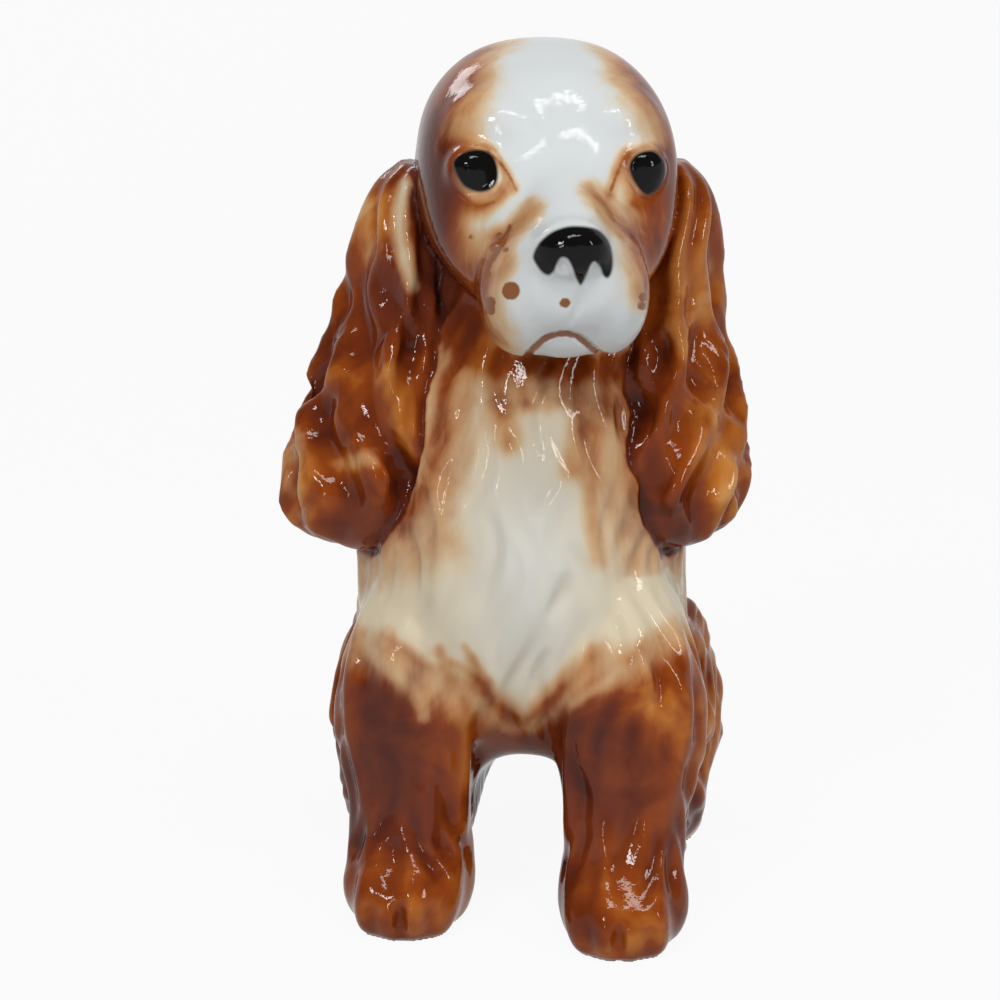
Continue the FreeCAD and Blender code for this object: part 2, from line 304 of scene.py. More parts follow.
@dataclass(frozen=True)
class Comb:
    """How the coat lies on a part, and the grooves that part its locks.

    Args:
        fall: The way that it hangs.
        sway: How far the locks swing to each side of it, in degrees.
        wave: Length of one swing, in millimetres.
        apart: Distance between grooves, in millimetres.
        width: Half the width of a groove, in millimetres.
        depth: Depth of a groove, in millimetres.
        longest: Length of the longest groove, in millimetres.
        seed: Which arrangement it is.
        hub: A point that the coat curls round, in millimetres, or None.
    """

    fall: tuple[float, float, float]
    sway: float
    wave: float
    apart: float
    width: float
    depth: float
    longest: float
    seed: int
    hub: tuple[float, float, float] | None = None

    def direction(self, point: Vector, normal: Vector, drift: float) -> Vector:
        """The way that hair lies at a point of the skin.

        Args:
            point: The place, in millimetres.
            normal: The skin's normal there.
            drift: A shift of the wave, in turns.

        Returns:
            A unit vector along the skin.
        """
        fall = Vector(self.fall)
        if self.hub:
            arm = point - Vector(self.hub)
            fall = fall + Vector((1, 0, 0)).cross(arm).normalized() * math.copysign(1.6, self.fall[1] or 1)
        along = fall - normal * fall.dot(normal)
        along = along.normalized() if along.length > 0.05 else Vector((0, -1, 0))
        across = normal.cross(along)
        swing = math.radians(self.sway) * math.sin(FULL_CIRCLE * (point.z / self.wave + drift))
        return (along * math.cos(swing) + across * math.sin(swing)).normalized()


class Clay:
    """A closed skin that is worked point by point, in millimetres."""

    def __init__(self, mesh: bpy.types.Mesh) -> None:
        """Starts from a mesh in metres."""
        self.mesh = mesh
        self.traced: tuple[np.ndarray, BVHTree] | None = None
        self.read()

    @classmethod
    def fused(cls, meshes: list[bpy.types.Mesh], voxel: float) -> "Clay":
        """Fuses closed meshes into one skin and leaves out what is hollow inside it.

        Args:
            meshes: The castings and plugs, in metres.
            voxel: Size of the skin's facets, in metres.

        Returns:
            The clay.
        """
        bm = bmesh.new()
        for mesh in meshes:
            part = bmesh.new()
            part.from_mesh(mesh)
            bmesh.ops.remove_doubles(part, verts=part.verts, dist=1e-6)
            merged = made_mesh(part, "merged")
            bm.from_mesh(merged)
            bpy.data.meshes.remove(merged)
        holder = set_out("holder", made_mesh(bm, "raw"))
        remesh = holder.modifiers.new("skin", "REMESH")
        remesh.mode = "VOXEL"
        remesh.voxel_size = voxel
        remesh.use_smooth_shade = True
        graph = bpy.context.evaluated_depsgraph_get()
        skin = bpy.data.meshes.new_from_object(holder.evaluated_get(graph))
        bpy.data.objects.remove(holder)
        return cls(skin)

    def read(self) -> None:
        """Takes the points and edges from the mesh."""
        self.points = gathered(self.mesh.vertices, "co", np.float32, 3).astype(float) / MM
        self.pairs = gathered(self.mesh.edges, "vertices", width=2)
        self.degree = np.bincount(self.pairs.ravel(), minlength=len(self.points))

    def write(self) -> None:
        """Puts the points back into the mesh."""
        self.mesh.vertices.foreach_set("co", (self.points * MM).astype(np.float32).ravel())
        self.mesh.update()

    def normals(self) -> np.ndarray:
        """The skin's normals at its points."""
        self.write()
        return gathered(self.mesh.vertex_normals, "vector", np.float32, 3).astype(float)

    def around(self, values: np.ndarray) -> np.ndarray:
        """The mean of each point's neighbours."""
        if values.ndim > 1:
            return np.stack([self.around(values[:, axis]) for axis in range(values.shape[1])], axis=1)
        a, b = self.pairs.T
        count = len(self.points)
        return (np.bincount(a, values[b], count) + np.bincount(b, values[a], count)) / self.degree

    def blurred(self, values: np.ndarray, steps: int) -> np.ndarray:
        """Values evened out over the skin, the more steps the further."""
        for _ in range(steps):
            values = (values + self.around(values)) / 2
        return values

    def smooth(self, steps: int, share: np.ndarray | float = 1.0) -> None:
        """Rubs the clay smooth, where share says and as much as it says."""
        weight = np.asarray(share, float)
        weight = weight[:, None] if weight.ndim else weight
        for _ in range(steps):
            self.points += weight * (self.around(self.points) - self.points) * 0.6

    def push(self, height: np.ndarray) -> None:
        """Moves the skin out along its normals by so many millimetres."""
        self.points += self.normals() * height[:, None]

    def sharpen(self, steps: int, gain: np.ndarray) -> None:
        """Deepens the relief that is already there."""
        self.points += gain[:, None] * (self.points - self.blurred(self.points, steps))

    def tree(self) -> BVHTree:
        """A search tree over the skin, in millimetres, kept until the skin changes."""
        if self.traced and np.array_equal(self.traced[0], self.points):
            return self.traced[1]
        self.write()
        self.traced = self.points.copy(), search_tree(self.mesh)
        return self.traced[1]

    def finder(self, near: np.ndarray) -> KDTree:
        """A search tree over the chosen points."""
        found = KDTree(int(near.sum()))
        for index in np.flatnonzero(near).tolist():
            found.insert(self.points[index], index)
        found.balance()
        return found

    def relief(self, grooves: list[Groove]) -> np.ndarray:
        """How deep grooves cut at each point.

        Args:
            grooves: The lines to cut.

        Returns:
            The depth in millimetres, below zero where the clay is raised.
        """
        margin = max(groove.width for groove in grooves)
        paths = np.vstack([groove.path for groove in grooves])
        finder = self.finder(boxed(self.points, paths.min(axis=0) - margin, paths.max(axis=0) + margin))
        indices, values = [], []
        for groove in grooves:
            points, depths = groove.samples()
            for point, depth in zip(points.tolist(), depths.tolist()):
                for _, index, distance in finder.find_range(point, groove.width):
                    indices.append(index)
                    values.append(depth * (1 - (distance / groove.width) ** 2) ** 2)
        cut, raised = np.zeros(len(self.points)), np.zeros(len(self.points))
        np.maximum.at(cut, indices, values)
        np.minimum.at(raised, indices, values)
        return cut + raised

    def combed(self, area: np.ndarray, comb: Comb, tries: int = 9000) -> list[Groove]:
        """Evenly spaced grooves that follow the lie of the coat.

        Args:
            area: Which points of the skin they may cross.
            comb: The lie of the coat.
            tries: How many starting points are tried.

        Returns:
            The grooves.
        """
        tree = self.tree()
        corners = gathered(self.mesh.loops, "vertex_index")
        open_face = area[corners[gathered(self.mesh.polygons, "loop_start")]]
        dice = np.random.default_rng(comb.seed)
        starts = dice.permutation(np.flatnonzero(area))[:tries]
        drifts = ripple(self.points[starts], 26.0, comb.seed) * 0.35
        taken: dict[tuple[int, int, int], list[Vector]] = {}

        def cell(point: Vector) -> tuple[int, int, int]:
            """The cube of a grid that a point lies in."""
            return tuple(int(math.floor(value / comb.apart)) for value in point)

        def crowded(point: Vector, reach: float) -> bool:
            """Whether a groove already runs within reach of a point."""
            x, y, z = cell(point)
            return any((point - other).length < reach
                       for i in (x - 1, x, x + 1) for j in (y - 1, y, y + 1) for k in (z - 1, z, z + 1)
                       for other in taken.get((i, j, k), ()))

        grooves = []
        for start, drift in zip(starts, drifts):
            seed_point, seed_normal, _, _ = tree.find_nearest(Vector(self.points[start]))
            if crowded(seed_point, comb.apart):
                continue
            reach = comb.longest * dice.uniform(0.35, 1.0)
            arms = []
            for way in (1, -1):
                arm, point, normal = [], seed_point, seed_normal
                while len(arm) * STRIDE < reach / 2:
                    step = comb.direction(point, normal, drift) * (STRIDE * way)
                    point, normal, face, _ = tree.find_nearest(point + step)
                    if not open_face[face] or crowded(point, comb.apart * 0.6):
                        break
                    arm.append(point)
                arms.append(arm)
            path = arms[1][::-1] + [seed_point] + arms[0]
            if len(path) * STRIDE < comb.apart * 1.5:
                continue
            for point in path:
                taken.setdefault(cell(point), []).append(point)
            width, depth = comb.width * dice.uniform(0.8, 1.2), comb.depth * dice.uniform(0.6, 1.15)
            grooves.append(Groove(np.array([list(point) for point in path]), width, depth))
        return grooves

    def refine(self, near: np.ndarray) -> None:
        """Halves the facets round the chosen points."""
        self.write()
        bm = bmesh.new()
        bm.from_mesh(self.mesh)
        flags = near.tolist()
        edges = [edge for edge in bm.edges if flags[edge.verts[0].index] and flags[edge.verts[1].index]]
        bmesh.ops.subdivide_edges(bm, edges=edges, cuts=1, use_grid_fill=True)
        bm.to_mesh(self.mesh)
        bm.free()
        self.read()


class Castings:
    """Which casting each point of the skin belongs to.

    MARGIN grows each casting's box and REACH limits the search for its surface, both in millimetres.
    """

    MARGIN = 1.5
    REACH = 2.5

    def __init__(self, nodes: dict[str, bpy.types.Object]) -> None:
        """Prepares a search tree for each casting."""
        self.names = sorted(nodes)
        self.trees = []
        for name in self.names:
            low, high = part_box(name)
            self.trees.append((search_tree(nodes[name].data), np.array(low) / MM - self.MARGIN,
                               np.array(high) / MM + self.MARGIN))

    def owners(self, clay: Clay) -> np.ndarray:
        """The index of the nearest casting for each point, with ragged joins evened out."""
        best = np.full(len(clay.points), FAR)
        owner = np.zeros(len(clay.points), int)
        for index, (tree, low, high) in enumerate(self.trees):
            for point in np.flatnonzero(boxed(clay.points, low, high)).tolist():
                _, _, _, distance = tree.find_nearest(clay.points[point], self.REACH)
                if distance is not None and distance < best[point] - 1e-4:
                    best[point], owner[point] = distance, index
        votes = np.stack([(owner == index).astype(float) for index in range(len(self.names))], axis=1)
        return np.argmax(clay.blurred(votes, 6), axis=1)


@dataclass(frozen=True)
class FiringVent:
    """The round hole in the roof of the arch, stopped a little way up so that the skin is closed.

    Args:
        centre: Its place, in metres.
        radius: Of the hole, in metres.
        sleeve: Outer radius of the stop, in metres.
        foot: Height where the sleeve starts, in metres.
        crown: Height of the hole's blind end, in metres.
        lid: Thickness of the blind end, in metres.
    """

    centre: tuple[float, float] = (0.0026, 0.016)
    radius: float = 0.0035
    sleeve: float = 0.0062
    foot: float = 0.0172
    crown: float = 0.0212
    lid: float = 0.002

    def mesh(self) -> bpy.types.Mesh:
        """The stop, spun from its section."""
        x, y = self.centre
        top = self.crown + self.lid
        section = [(0, self.crown), (self.radius, self.crown), (self.radius, self.foot),
                   (self.sleeve, self.foot), (self.sleeve, top), (0, top)]
        bm = bmesh.new()
        ring = [bm.verts.new((x + reach, y, level)) for reach, level in section]
        edges = [bm.edges.new(pair) for pair in zip(ring, ring[1:])]
        bmesh.ops.spin(bm, geom=ring + edges, cent=(x, y, 0), axis=(0, 0, 1), angle=FULL_CIRCLE, steps=40,
                       use_merge=True)
        bmesh.ops.remove_doubles(bm, verts=bm.verts, dist=1e-6)
        bmesh.ops.recalc_face_normals(bm, faces=bm.faces)
        return made_mesh(bm, "vent_stop")


@dataclass(frozen=True)
class Fillet:
    """A lump of clay pressed into a gap between two castings.

    Args:
        centre: Its middle, in metres.
        radii: Its half sizes, in metres.
    """

    centre: tuple[float, float, float]
    radii: tuple[float, float, float]

    def mesh(self) -> bpy.types.Mesh:
        """The lump."""
        bm = bmesh.new()
        bmesh.ops.create_icosphere(bm, subdivisions=3, radius=1.0)
        bmesh.ops.scale(bm, vec=self.radii, verts=bm.verts)
        bmesh.ops.translate(bm, vec=self.centre, verts=bm.verts)
        return made_mesh(bm, "fillet")


class Figure:
    """The whole skin at work: the clay, and which casting owns each point of it.

    FILLETS are lumps between castings. DIP is how far a piece's end caps dip inwards, in metres.
    """

    DIP = 0.002
    FILLETS = (Fillet((-0.0138, -0.0020, 0.1030), (0.0042, 0.0085, 0.0110)),)

    def __init__(self, nodes: dict[str, bpy.types.Object], voxel: float) -> None:
        """Fuses the castings and finds the joins."""
        self.clay = Clay.fused([node.data for node in nodes.values()]
                               + [FiringVent().mesh()] + [fillet.mesh() for fillet in self.FILLETS], voxel)
        self.castings = Castings(nodes)
        self.owner = self.castings.owners(self.clay)

    def area(self, *words: str) -> np.ndarray:
        """Which points belong to the castings whose names hold any of the given words."""
        wanted = [any(word in name for word in words) for name in self.castings.names]
        return np.array(wanted)[self.owner]

    def join(self, first: tuple[str, ...], second: tuple[str, ...], steps: int) -> np.ndarray:
        """A band along the joins between two sets of castings.

        Args:
            first: Words in the names on one side.
            second: Words in the names on the other side.
            steps: Its width, in rows of facets.

        Returns:
            1 on the join, falling to 0 away from it.
        """
        one, two = self.area(*first), self.area(*second)
        a, b = self.clay.pairs.T
        crossing = (one[a] & two[b]) | (two[a] & one[b])
        mark = np.zeros(len(self.owner))
        mark[self.clay.pairs[crossing]] = 1
        band = mark
        for _ in range(steps):
            band = np.maximum(mark, self.clay.around(band))
        return band

    def refine(self, near: np.ndarray) -> None:
        """Halves the facets round some points; a new point belongs where the nearest old one does."""
        finder = self.clay.finder(near)
        count = len(self.clay.points)
        self.clay.refine(near)
        nearest = [finder.find(point)[1] for point in self.clay.points[count:].tolist()]
        self.owner = np.concatenate([self.owner, self.owner[nearest]])

    def settle(self) -> None:
        """Sets the soles flat on the ground."""
        points = self.clay.points
        points[:, 2] = np.where(points[:, 2] < SOLE, 0.0, points[:, 2])

    def piece(self, node: str, name: str) -> bpy.types.Object:
        """Parts one casting from the skin and closes it along its joins.

        Args:
            node: The casting.
            name: The new piece's name.

        Returns:
            The piece, with its place in its mesh.
        """
        clay = self.clay
        normals = clay.normals()
        if "source" not in clay.mesh.attributes:
            clay.mesh.attributes.new("source", "INT", "POINT")
        clay.mesh.attributes["source"].data.foreach_set("value", np.arange(len(clay.points), dtype=np.int32))
        bm = bmesh.new()
        bm.from_mesh(clay.mesh)
        owned = (self.owner == self.castings.names.index(node)).tolist()
        other = [face for face in bm.faces if not owned[face.verts[0].index]]
        bmesh.ops.delete(bm, geom=other, context="FACES")
        outer = len(bm.faces)
        self.close(bm)
        mesh = made_mesh(bm, name)
        LOG.info("%s: %d faces, %d of them on joins", name, len(mesh.polygons), len(mesh.polygons) - outer)
        mesh.shade_smooth()
        self.keep_shading(mesh, normals)
        mesh.attributes.remove(mesh.attributes["source"])
        piece = set_out(name, mesh)
        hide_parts(node)
        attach(piece, "root")
        return piece

    @classmethod
    def close(cls, bm: bmesh.types.BMesh) -> None:
        """Closes each open rim of a piece with a fan of facets that dips inwards.

        Args:
            bm: The piece, with each point's number in the skin, which is -1 for the new points.
        """
        source = bm.verts.layers.int["source"]
        rims = dict.fromkeys(edge for edge in bm.edges if edge.is_boundary)
        for edge in rims:
            edge.smooth = False
        while rims:
            chain = []
            linked = [next(iter(rims))]
            while linked:
                for edge in linked:
                    del rims[edge]
                chain += linked
                corners = dict.fromkeys(vert for edge in linked for vert in edge.verts)
                nearby = (edge for vert in corners for edge in vert.link_edges)
                linked = list(dict.fromkeys(edge for edge in nearby if edge in rims))
            rim = list(dict.fromkeys(vert for edge in chain for vert in edge.verts))
            centre = sum((vert.co for vert in rim), Vector()) / len(rim)
            inward = sum((vert.normal for vert in rim), Vector()) / len(rim)
            made = bmesh.ops.extrude_edge_only(bm, edges=chain)
            tips = [item for item in made["geom"] if isinstance(item, bmesh.types.BMVert)]
            for vert in tips:
                vert[source] = -1
            bmesh.ops.pointmerge(bm, verts=tips, merge_co=centre - inward * cls.DIP)
        bmesh.ops.recalc_face_normals(bm, faces=bm.faces)

    @staticmethod
    def keep_shading(mesh: bpy.types.Mesh, normals: np.ndarray) -> None:
        """Gives a piece the whole skin's normals, so that no join shows in the gloss.

        Args:
            mesh: The piece's mesh, with each point's number in the skin.
            normals: The skin's normals.
        """
        source = gathered(mesh.attributes["source"].data, "value")
        corners = gathered(mesh.loops, "vertex_index")
        starts = gathered(mesh.polygons, "loop_start")
        totals = gathered(mesh.polygons, "loop_total")
        own = np.repeat(gathered(mesh.polygons, "normal", np.float32, 3), totals, axis=0)
        hidden = np.repeat(np.minimum.reduceat(source[corners], starts) < 0, totals)
        chosen = np.where(hidden[:, None], own, normals[np.maximum(source[corners], 0)])
        mesh.normals_split_custom_set(chosen.tolist())


@dataclass(frozen=True)
class Fold:
    """A furrow modelled in the face, or a ridge where its depth is below zero.

    Args:
        path: Its corners, in pixels.
        width: Half its width, in millimetres.
        depth: Its depth, in millimetres.
    """

    path: tuple[tuple[float, float], ...]
    width: float
    depth: float

    def groove(self, tree: BVHTree, closed: bool = False) -> Groove:
        """Lays the fold on the skin; one that goes round in a ring isn't tapered."""
        line = rounded(self.path, closed=closed)
        return Groove(np.array([VIEW.hit(tree, pixel) for pixel in line]), self.width, self.depth, not closed)


@dataclass(frozen=True)
class Airbrush:
    """One pass of the airbrush over the side that the photograph shows.

    Args:
        on: Words in the names of the castings that it colours.
        path: Its corners, in pixels.
        radius: How far it spreads, in pixels.
        amount: Share of the full wash that it lays, or wipes off where it is below zero.
    """

    on: str
    path: tuple[tuple[float, float], ...]
    radius: float
    amount: float


class Brushwork:
    """What the decorator's brushes leave on the skin, together with painted shade, sheen and highlights, one
    value for each point.

    TURN is how far round from edge-on to the camera the paint placed by the photograph fades out. BIB is
    the lower edge of the pale bib, in pixels. Each light-and-tone patch is a place in pixels, its half width
    and half height, and how much painted shade and dull painted sheen, or below zero how much warm painted
    highlight, it lays on the wash; the broad patches over the legs, shoulder and feet also darken or warm the
    wash's own tone.
    """

    TURN = 0.2
    BIB = ((330, 626), (371, 642), (432, 674), (473, 686), (523, 718), (560, 692), (592, 656), (625, 656),
           (674, 626), (700, 614))
    # painted shade and dull painted sheen above zero, painted highlights below it; some patches also change
    # the wash's own tone
    LIGHT_AND_TONE_PATCHES = ((525, 810, 260, 130, 0.35), (385, 765, 50, 90, 0.8), (602, 765, 40, 80, 0.5),
             (664, 704, 34, 34, -1.2), (410, 905, 60, 34, -0.5), (632, 925, 50, 34, -0.5),
             (366, 224, 20, 36, -1.0), (372, 374, 34, 14, -0.8), (350, 467, 30, 16, -0.9),
             (300, 478, 20, 34, -0.6), (366, 532, 50, 20, 0.9), (402, 430, 22, 60, -0.5),
             (674, 522, 42, 22, 0.9), (700, 330, 26, 70, -1.0), (692, 430, 30, 34, -1.1),
             (428, 180, 24, 80, 1.0), (444, 290, 22, 50, 0.8), (700, 640, 20, 40, -1.1),
             (712, 760, 16, 60, -1.0), (466, 790, 16, 90, -0.4), (724, 470, 22, 44, -0.9),
             (386, 290, 24, 46, 0.7), (336, 400, 30, 40, 0.4))

    def __init__(self, figure: Figure) -> None:
        """Starts from the bare clay."""
        self.figure = figure
        points, self.normals = figure.clay.points, figure.clay.normals()
        self.pixels = VIEW.pixels(points)
        self.facing = VIEW.facing(points, self.normals)
        self.shown = ramp(self.facing, -self.TURN, self.TURN)
        # the third of these holds painted shade, sheen and highlights, as well as some of the wash's own tone
        self.wash, self.cool, self.painted_light_and_tone = (np.zeros(len(points)) for _ in range(3))
        self.ink, self.line, self.spot = (np.full(len(points), FAR) for _ in range(3))

    def within(self, outline: np.ndarray, margin: float, words: tuple[str, ...]) -> np.ndarray:
        """Which front points of some castings lie in an outline's box, grown by a margin."""
        inside = boxed(self.pixels, outline.min(axis=0) - margin, outline.max(axis=0) + margin)
        return np.flatnonzero(inside & (self.facing > -self.TURN) & self.figure.area(*words))

    def under_bib(self) -> np.ndarray:
        """How far each point lies below the pale bib, from thin wash to full."""
        x, y = self.pixels.T
        return 0.08 + 0.92 * ramp(y - np.interp(x, *np.array(self.BIB).T), -34, 58)

    def paint_light_and_tone(self) -> None:
        """Lays painted shade, dull painted sheen and warm painted highlights on the wash in patches, with
        some darker and warmer tone of the wash itself.
        """
        x, y = self.pixels.T
        for across, down, half_width, half_height, amount in self.LIGHT_AND_TONE_PATCHES:
            patch = np.exp(-((x - across) / half_width) ** 2 - ((y - down) / half_height) ** 2)
            self.painted_light_and_tone += amount * patch * self.shown

    def crease_wash_and_shade(self) -> None:
        """Runs brown wash and painted shade into the creases round the ears, and evens out the edges of all
        the washes and of the painted light.
        """
        band = self.figure.join(("ear",), ("torso", "head"), 9)
        self.wash = np.maximum(self.wash, band)
        # painted shade in the creases where the ears meet the head and chest
        self.painted_light_and_tone += 0.2 * band ** 2
        for name in ("wash", "cool", "painted_light_and_tone"):
            setattr(self, name, self.figure.clay.blurred(getattr(self, name), 3))

    def spray(self, passes: tuple[Airbrush, ...]) -> None:
        """Lays or wipes off the brown wash."""
        for stroke in passes:
            line = rounded(stroke.path) if len(stroke.path) > 1 else np.array(stroke.path * 2, float)
            near = self.within(line, stroke.radius * 2.2, tuple(stroke.on.split()))
            weight = np.exp(-(apart(self.pixels[near], line) / stroke.radius) ** 2) * self.shown[near]
            if stroke.amount > 0:
                self.wash[near] += stroke.amount * weight * np.maximum(1 - self.wash[near], 0)
            else:
                self.wash[near] *= 1 + stroke.amount * weight

    def draw(self, field: np.ndarray, path: tuple[tuple[float, float], ...], half: float,
             words: tuple[str, ...], fill: bool = False) -> None:
        """Draws a line, or fills an outline, as a distance in pixels that is below zero on the paint.

        Args:
            field: The distances to lower.
            path: The corners, in pixels.
            half: Half the line's width, in pixels.
            words: Words in the names of the castings that it is drawn on.
            fill: Whether the path is the outline of a filled patch.
        """
        line = rounded(path, closed=fill)
        near = self.within(line, 16.0, words)
        reach = apart(self.pixels[near], line)
        if fill:
            x, y = self.pixels[near].T
            inside = np.zeros(len(near), bool)
            for (ax, ay), (bx, by) in zip(line, line[1:]):
                span = (ay > y) != (by > y)
                inside ^= span & (x < (bx - ax) * (y - ay) / (by - ay if by != ay else 1e-9) + ax)
            reach = np.where(inside, -reach, reach)
        field[near] = np.minimum(field[near], reach - half)

    def store(self) -> None:
        """Writes the values to the skin, with how hollow or proud each point is."""
        clay = self.figure.clay
        points = clay.points
        broad = clay.blurred(points, 14)
        hollow = np.clip(np.sum((broad - points) * self.normals, axis=1) / 0.35, -1, 1)
        fields = {"wash": self.wash, "cool": self.cool, "painted_light_and_tone": self.painted_light_and_tone, "ink": self.ink,
                  "line": self.line, "spot": self.spot, "hollow": clay.blurred(hollow, 2)}
        for name, values in fields.items():
            layer = clay.mesh.attributes.new(name, "FLOAT", "POINT")
            layer.data.foreach_set("value", values.astype(np.float32))


@dataclass(frozen=True)
class Casting:
    """One sub-assembly of the figure.

    Args:
        node: The casting that it dresses.
        slot: The record's material slot.
        rub: How often the raw form is rubbed smooth.
    """

    node: str
    slot: str
    rub: int

    def comb(self, figure: Figure) -> list[Groove]:
        """The grooves of its coat."""
        return []

    def finish(self, figure: Figure) -> None:
        """Models what goes on top of the coat."""

    def wash(self, work: Brushwork) -> None:
        """Lays the brown wash over the whole casting."""
        work.wash[work.figure.area(self.node)] = 1.0


@dataclass(frozen=True)
class Torso(Casting):
    """The chest, belly and back.

    Args:
        chest: The long locks in front.
        back: The closer locks behind.
        passes: The airbrush's passes over the chest and along the pale bib; the band under the chin is partly
            painted shade, and the stroke at the top of the arch is painted shadow under the chest.
    """

    node: str = "torso_shell"
    slot: str = "cream_glaze"
    rub: int = 60
    chest: Comb = Comb((0, -0.1, -1), 26.0, 26.0, 3.8, 2.0, 0.80, 30.0, 11)
    back: Comb = Comb((0, 0.1, -1), 26.0, 20.0, 3.0, 1.5, 0.55, 24.0, 12)
    passes: tuple[Airbrush, ...] = (
        Airbrush("torso", ((436, 250), (448, 300), (470, 350)), 26, 0.95),
        # brown under the chin, partly the coat's colour and partly painted shade under the chin
        Airbrush("torso", ((490, 362), (560, 366), (630, 362)), 14, 0.72),
        Airbrush("torso", ((520, 368), (525, 404)), 8, 0.4),
        Airbrush("torso", ((560, 368), (563, 400)), 7, 0.36),
        Airbrush("torso", ((604, 368), (607, 412)), 9, 0.32),
        Airbrush("torso", ((498, 368), (502, 405), (508, 440)), 13, 0.46),
        Airbrush("torso", ((541, 372), (544, 405)), 12, 0.28),
        Airbrush("torso", ((577, 370), (581, 420), (573, 470)), 12, 0.4),
        Airbrush("torso", ((626, 370), (630, 430), (637, 480), (653, 520), (674, 545)), 17, 0.5),
        Airbrush("torso", ((608, 380), (604, 450), (622, 530)), 22, 0.2),
        Airbrush("torso", ((598, 430), (591, 500), (598, 560)), 9, 0.26),
        Airbrush("torso", ((448, 380), (438, 440), (428, 480), (402, 522), (370, 546)), 16, 0.5),
        Airbrush("torso", ((470, 400), (456, 470), (430, 530)), 20, 0.17),
        Airbrush("torso", ((440, 548), (400, 562), (362, 575)), 26, 0.18),
        Airbrush("torso", ((640, 560), (672, 568)), 26, 0.18),
        Airbrush("torso foreleg", ((338, 622), (371, 644), (405, 655), (432, 674), (455, 680), (473, 686),
                                   (500, 706), (523, 722), (545, 706), (560, 684), (592, 654), (625, 656),
                                   (676, 624)), 9, 0.28),
        Airbrush("torso foreleg", ((390, 630), (400, 655), (412, 690)), 6, 0.22),
        Airbrush("torso foreleg", ((438, 650), (450, 680), (470, 712)), 6, 0.26),
        Airbrush("torso foreleg", ((470, 660), (486, 694), (505, 722)), 6, 0.24),
        Airbrush("torso foreleg", ((540, 712), (580, 672), (606, 644)), 8, 0.3),
        # painted shadow under the chest, at the top of the arch between the forelegs
        Airbrush("torso foreleg", ((500, 745), (560, 742)), 14, 0.6),
        Airbrush("torso foreleg", ((383, 636), (404, 649), (429, 668), (455, 664), (480, 682), (497, 702),
                                   (522, 720), (547, 704), (573, 680), (590, 648)), 4.5, 0.3),
        Airbrush("torso foreleg", ((464, 646), (476, 664), (490, 684)), 4, 0.25),
        Airbrush("torso foreleg", ((352, 640), (372, 668), (396, 690), (402, 720)), 5, 0.25),
        Airbrush("torso foreleg", ((560, 712), (584, 690), (612, 676), (640, 650)), 5, 0.28),
        Airbrush("torso foreleg", ((612, 676), (626, 694), (650, 690)), 4.5, 0.25),
        Airbrush("torso foreleg", ((366, 640), (386, 668), (414, 690), (424, 718)), 7, -0.3),
        Airbrush("torso foreleg", ((572, 704), (600, 686), (622, 668)), 5, -0.35),
    )

    def comb(self, figure: Figure) -> list[Groove]:
        """Long wavy grooves down the chest, closer ones on the back."""
        own, normals = figure.area(self.node), figure.clay.normals()
        open_air = own & (normals[:, 2] > -0.6)
        return (figure.clay.combed(open_air & (normals[:, 1] < -0.05), self.chest)
                + figure.clay.combed(open_air & (normals[:, 1] > -0.1), self.back))

    def wash(self, work: Brushwork) -> None:
        """A cream chest that turns brown at the back and over the legs."""
        own = work.figure.area(self.node)
        x, y = work.pixels.T
        height = work.figure.clay.points[:, 2]
        turn = work.normals[:, 1] + 0.45 - 0.5 * np.exp(-((height - 57) / 9) ** 2)
        sides = np.maximum(ramp(turn, 0.0, 0.4), ramp(height, 90.0, 98.0))
        work.wash[own] = np.maximum(work.under_bib(), sides)[own]
        work.cool[own] = 0.7 * np.exp(-((x - 528) / 70) ** 2 - ((y - 580) / 130) ** 2)[own]
        work.spray(self.passes)


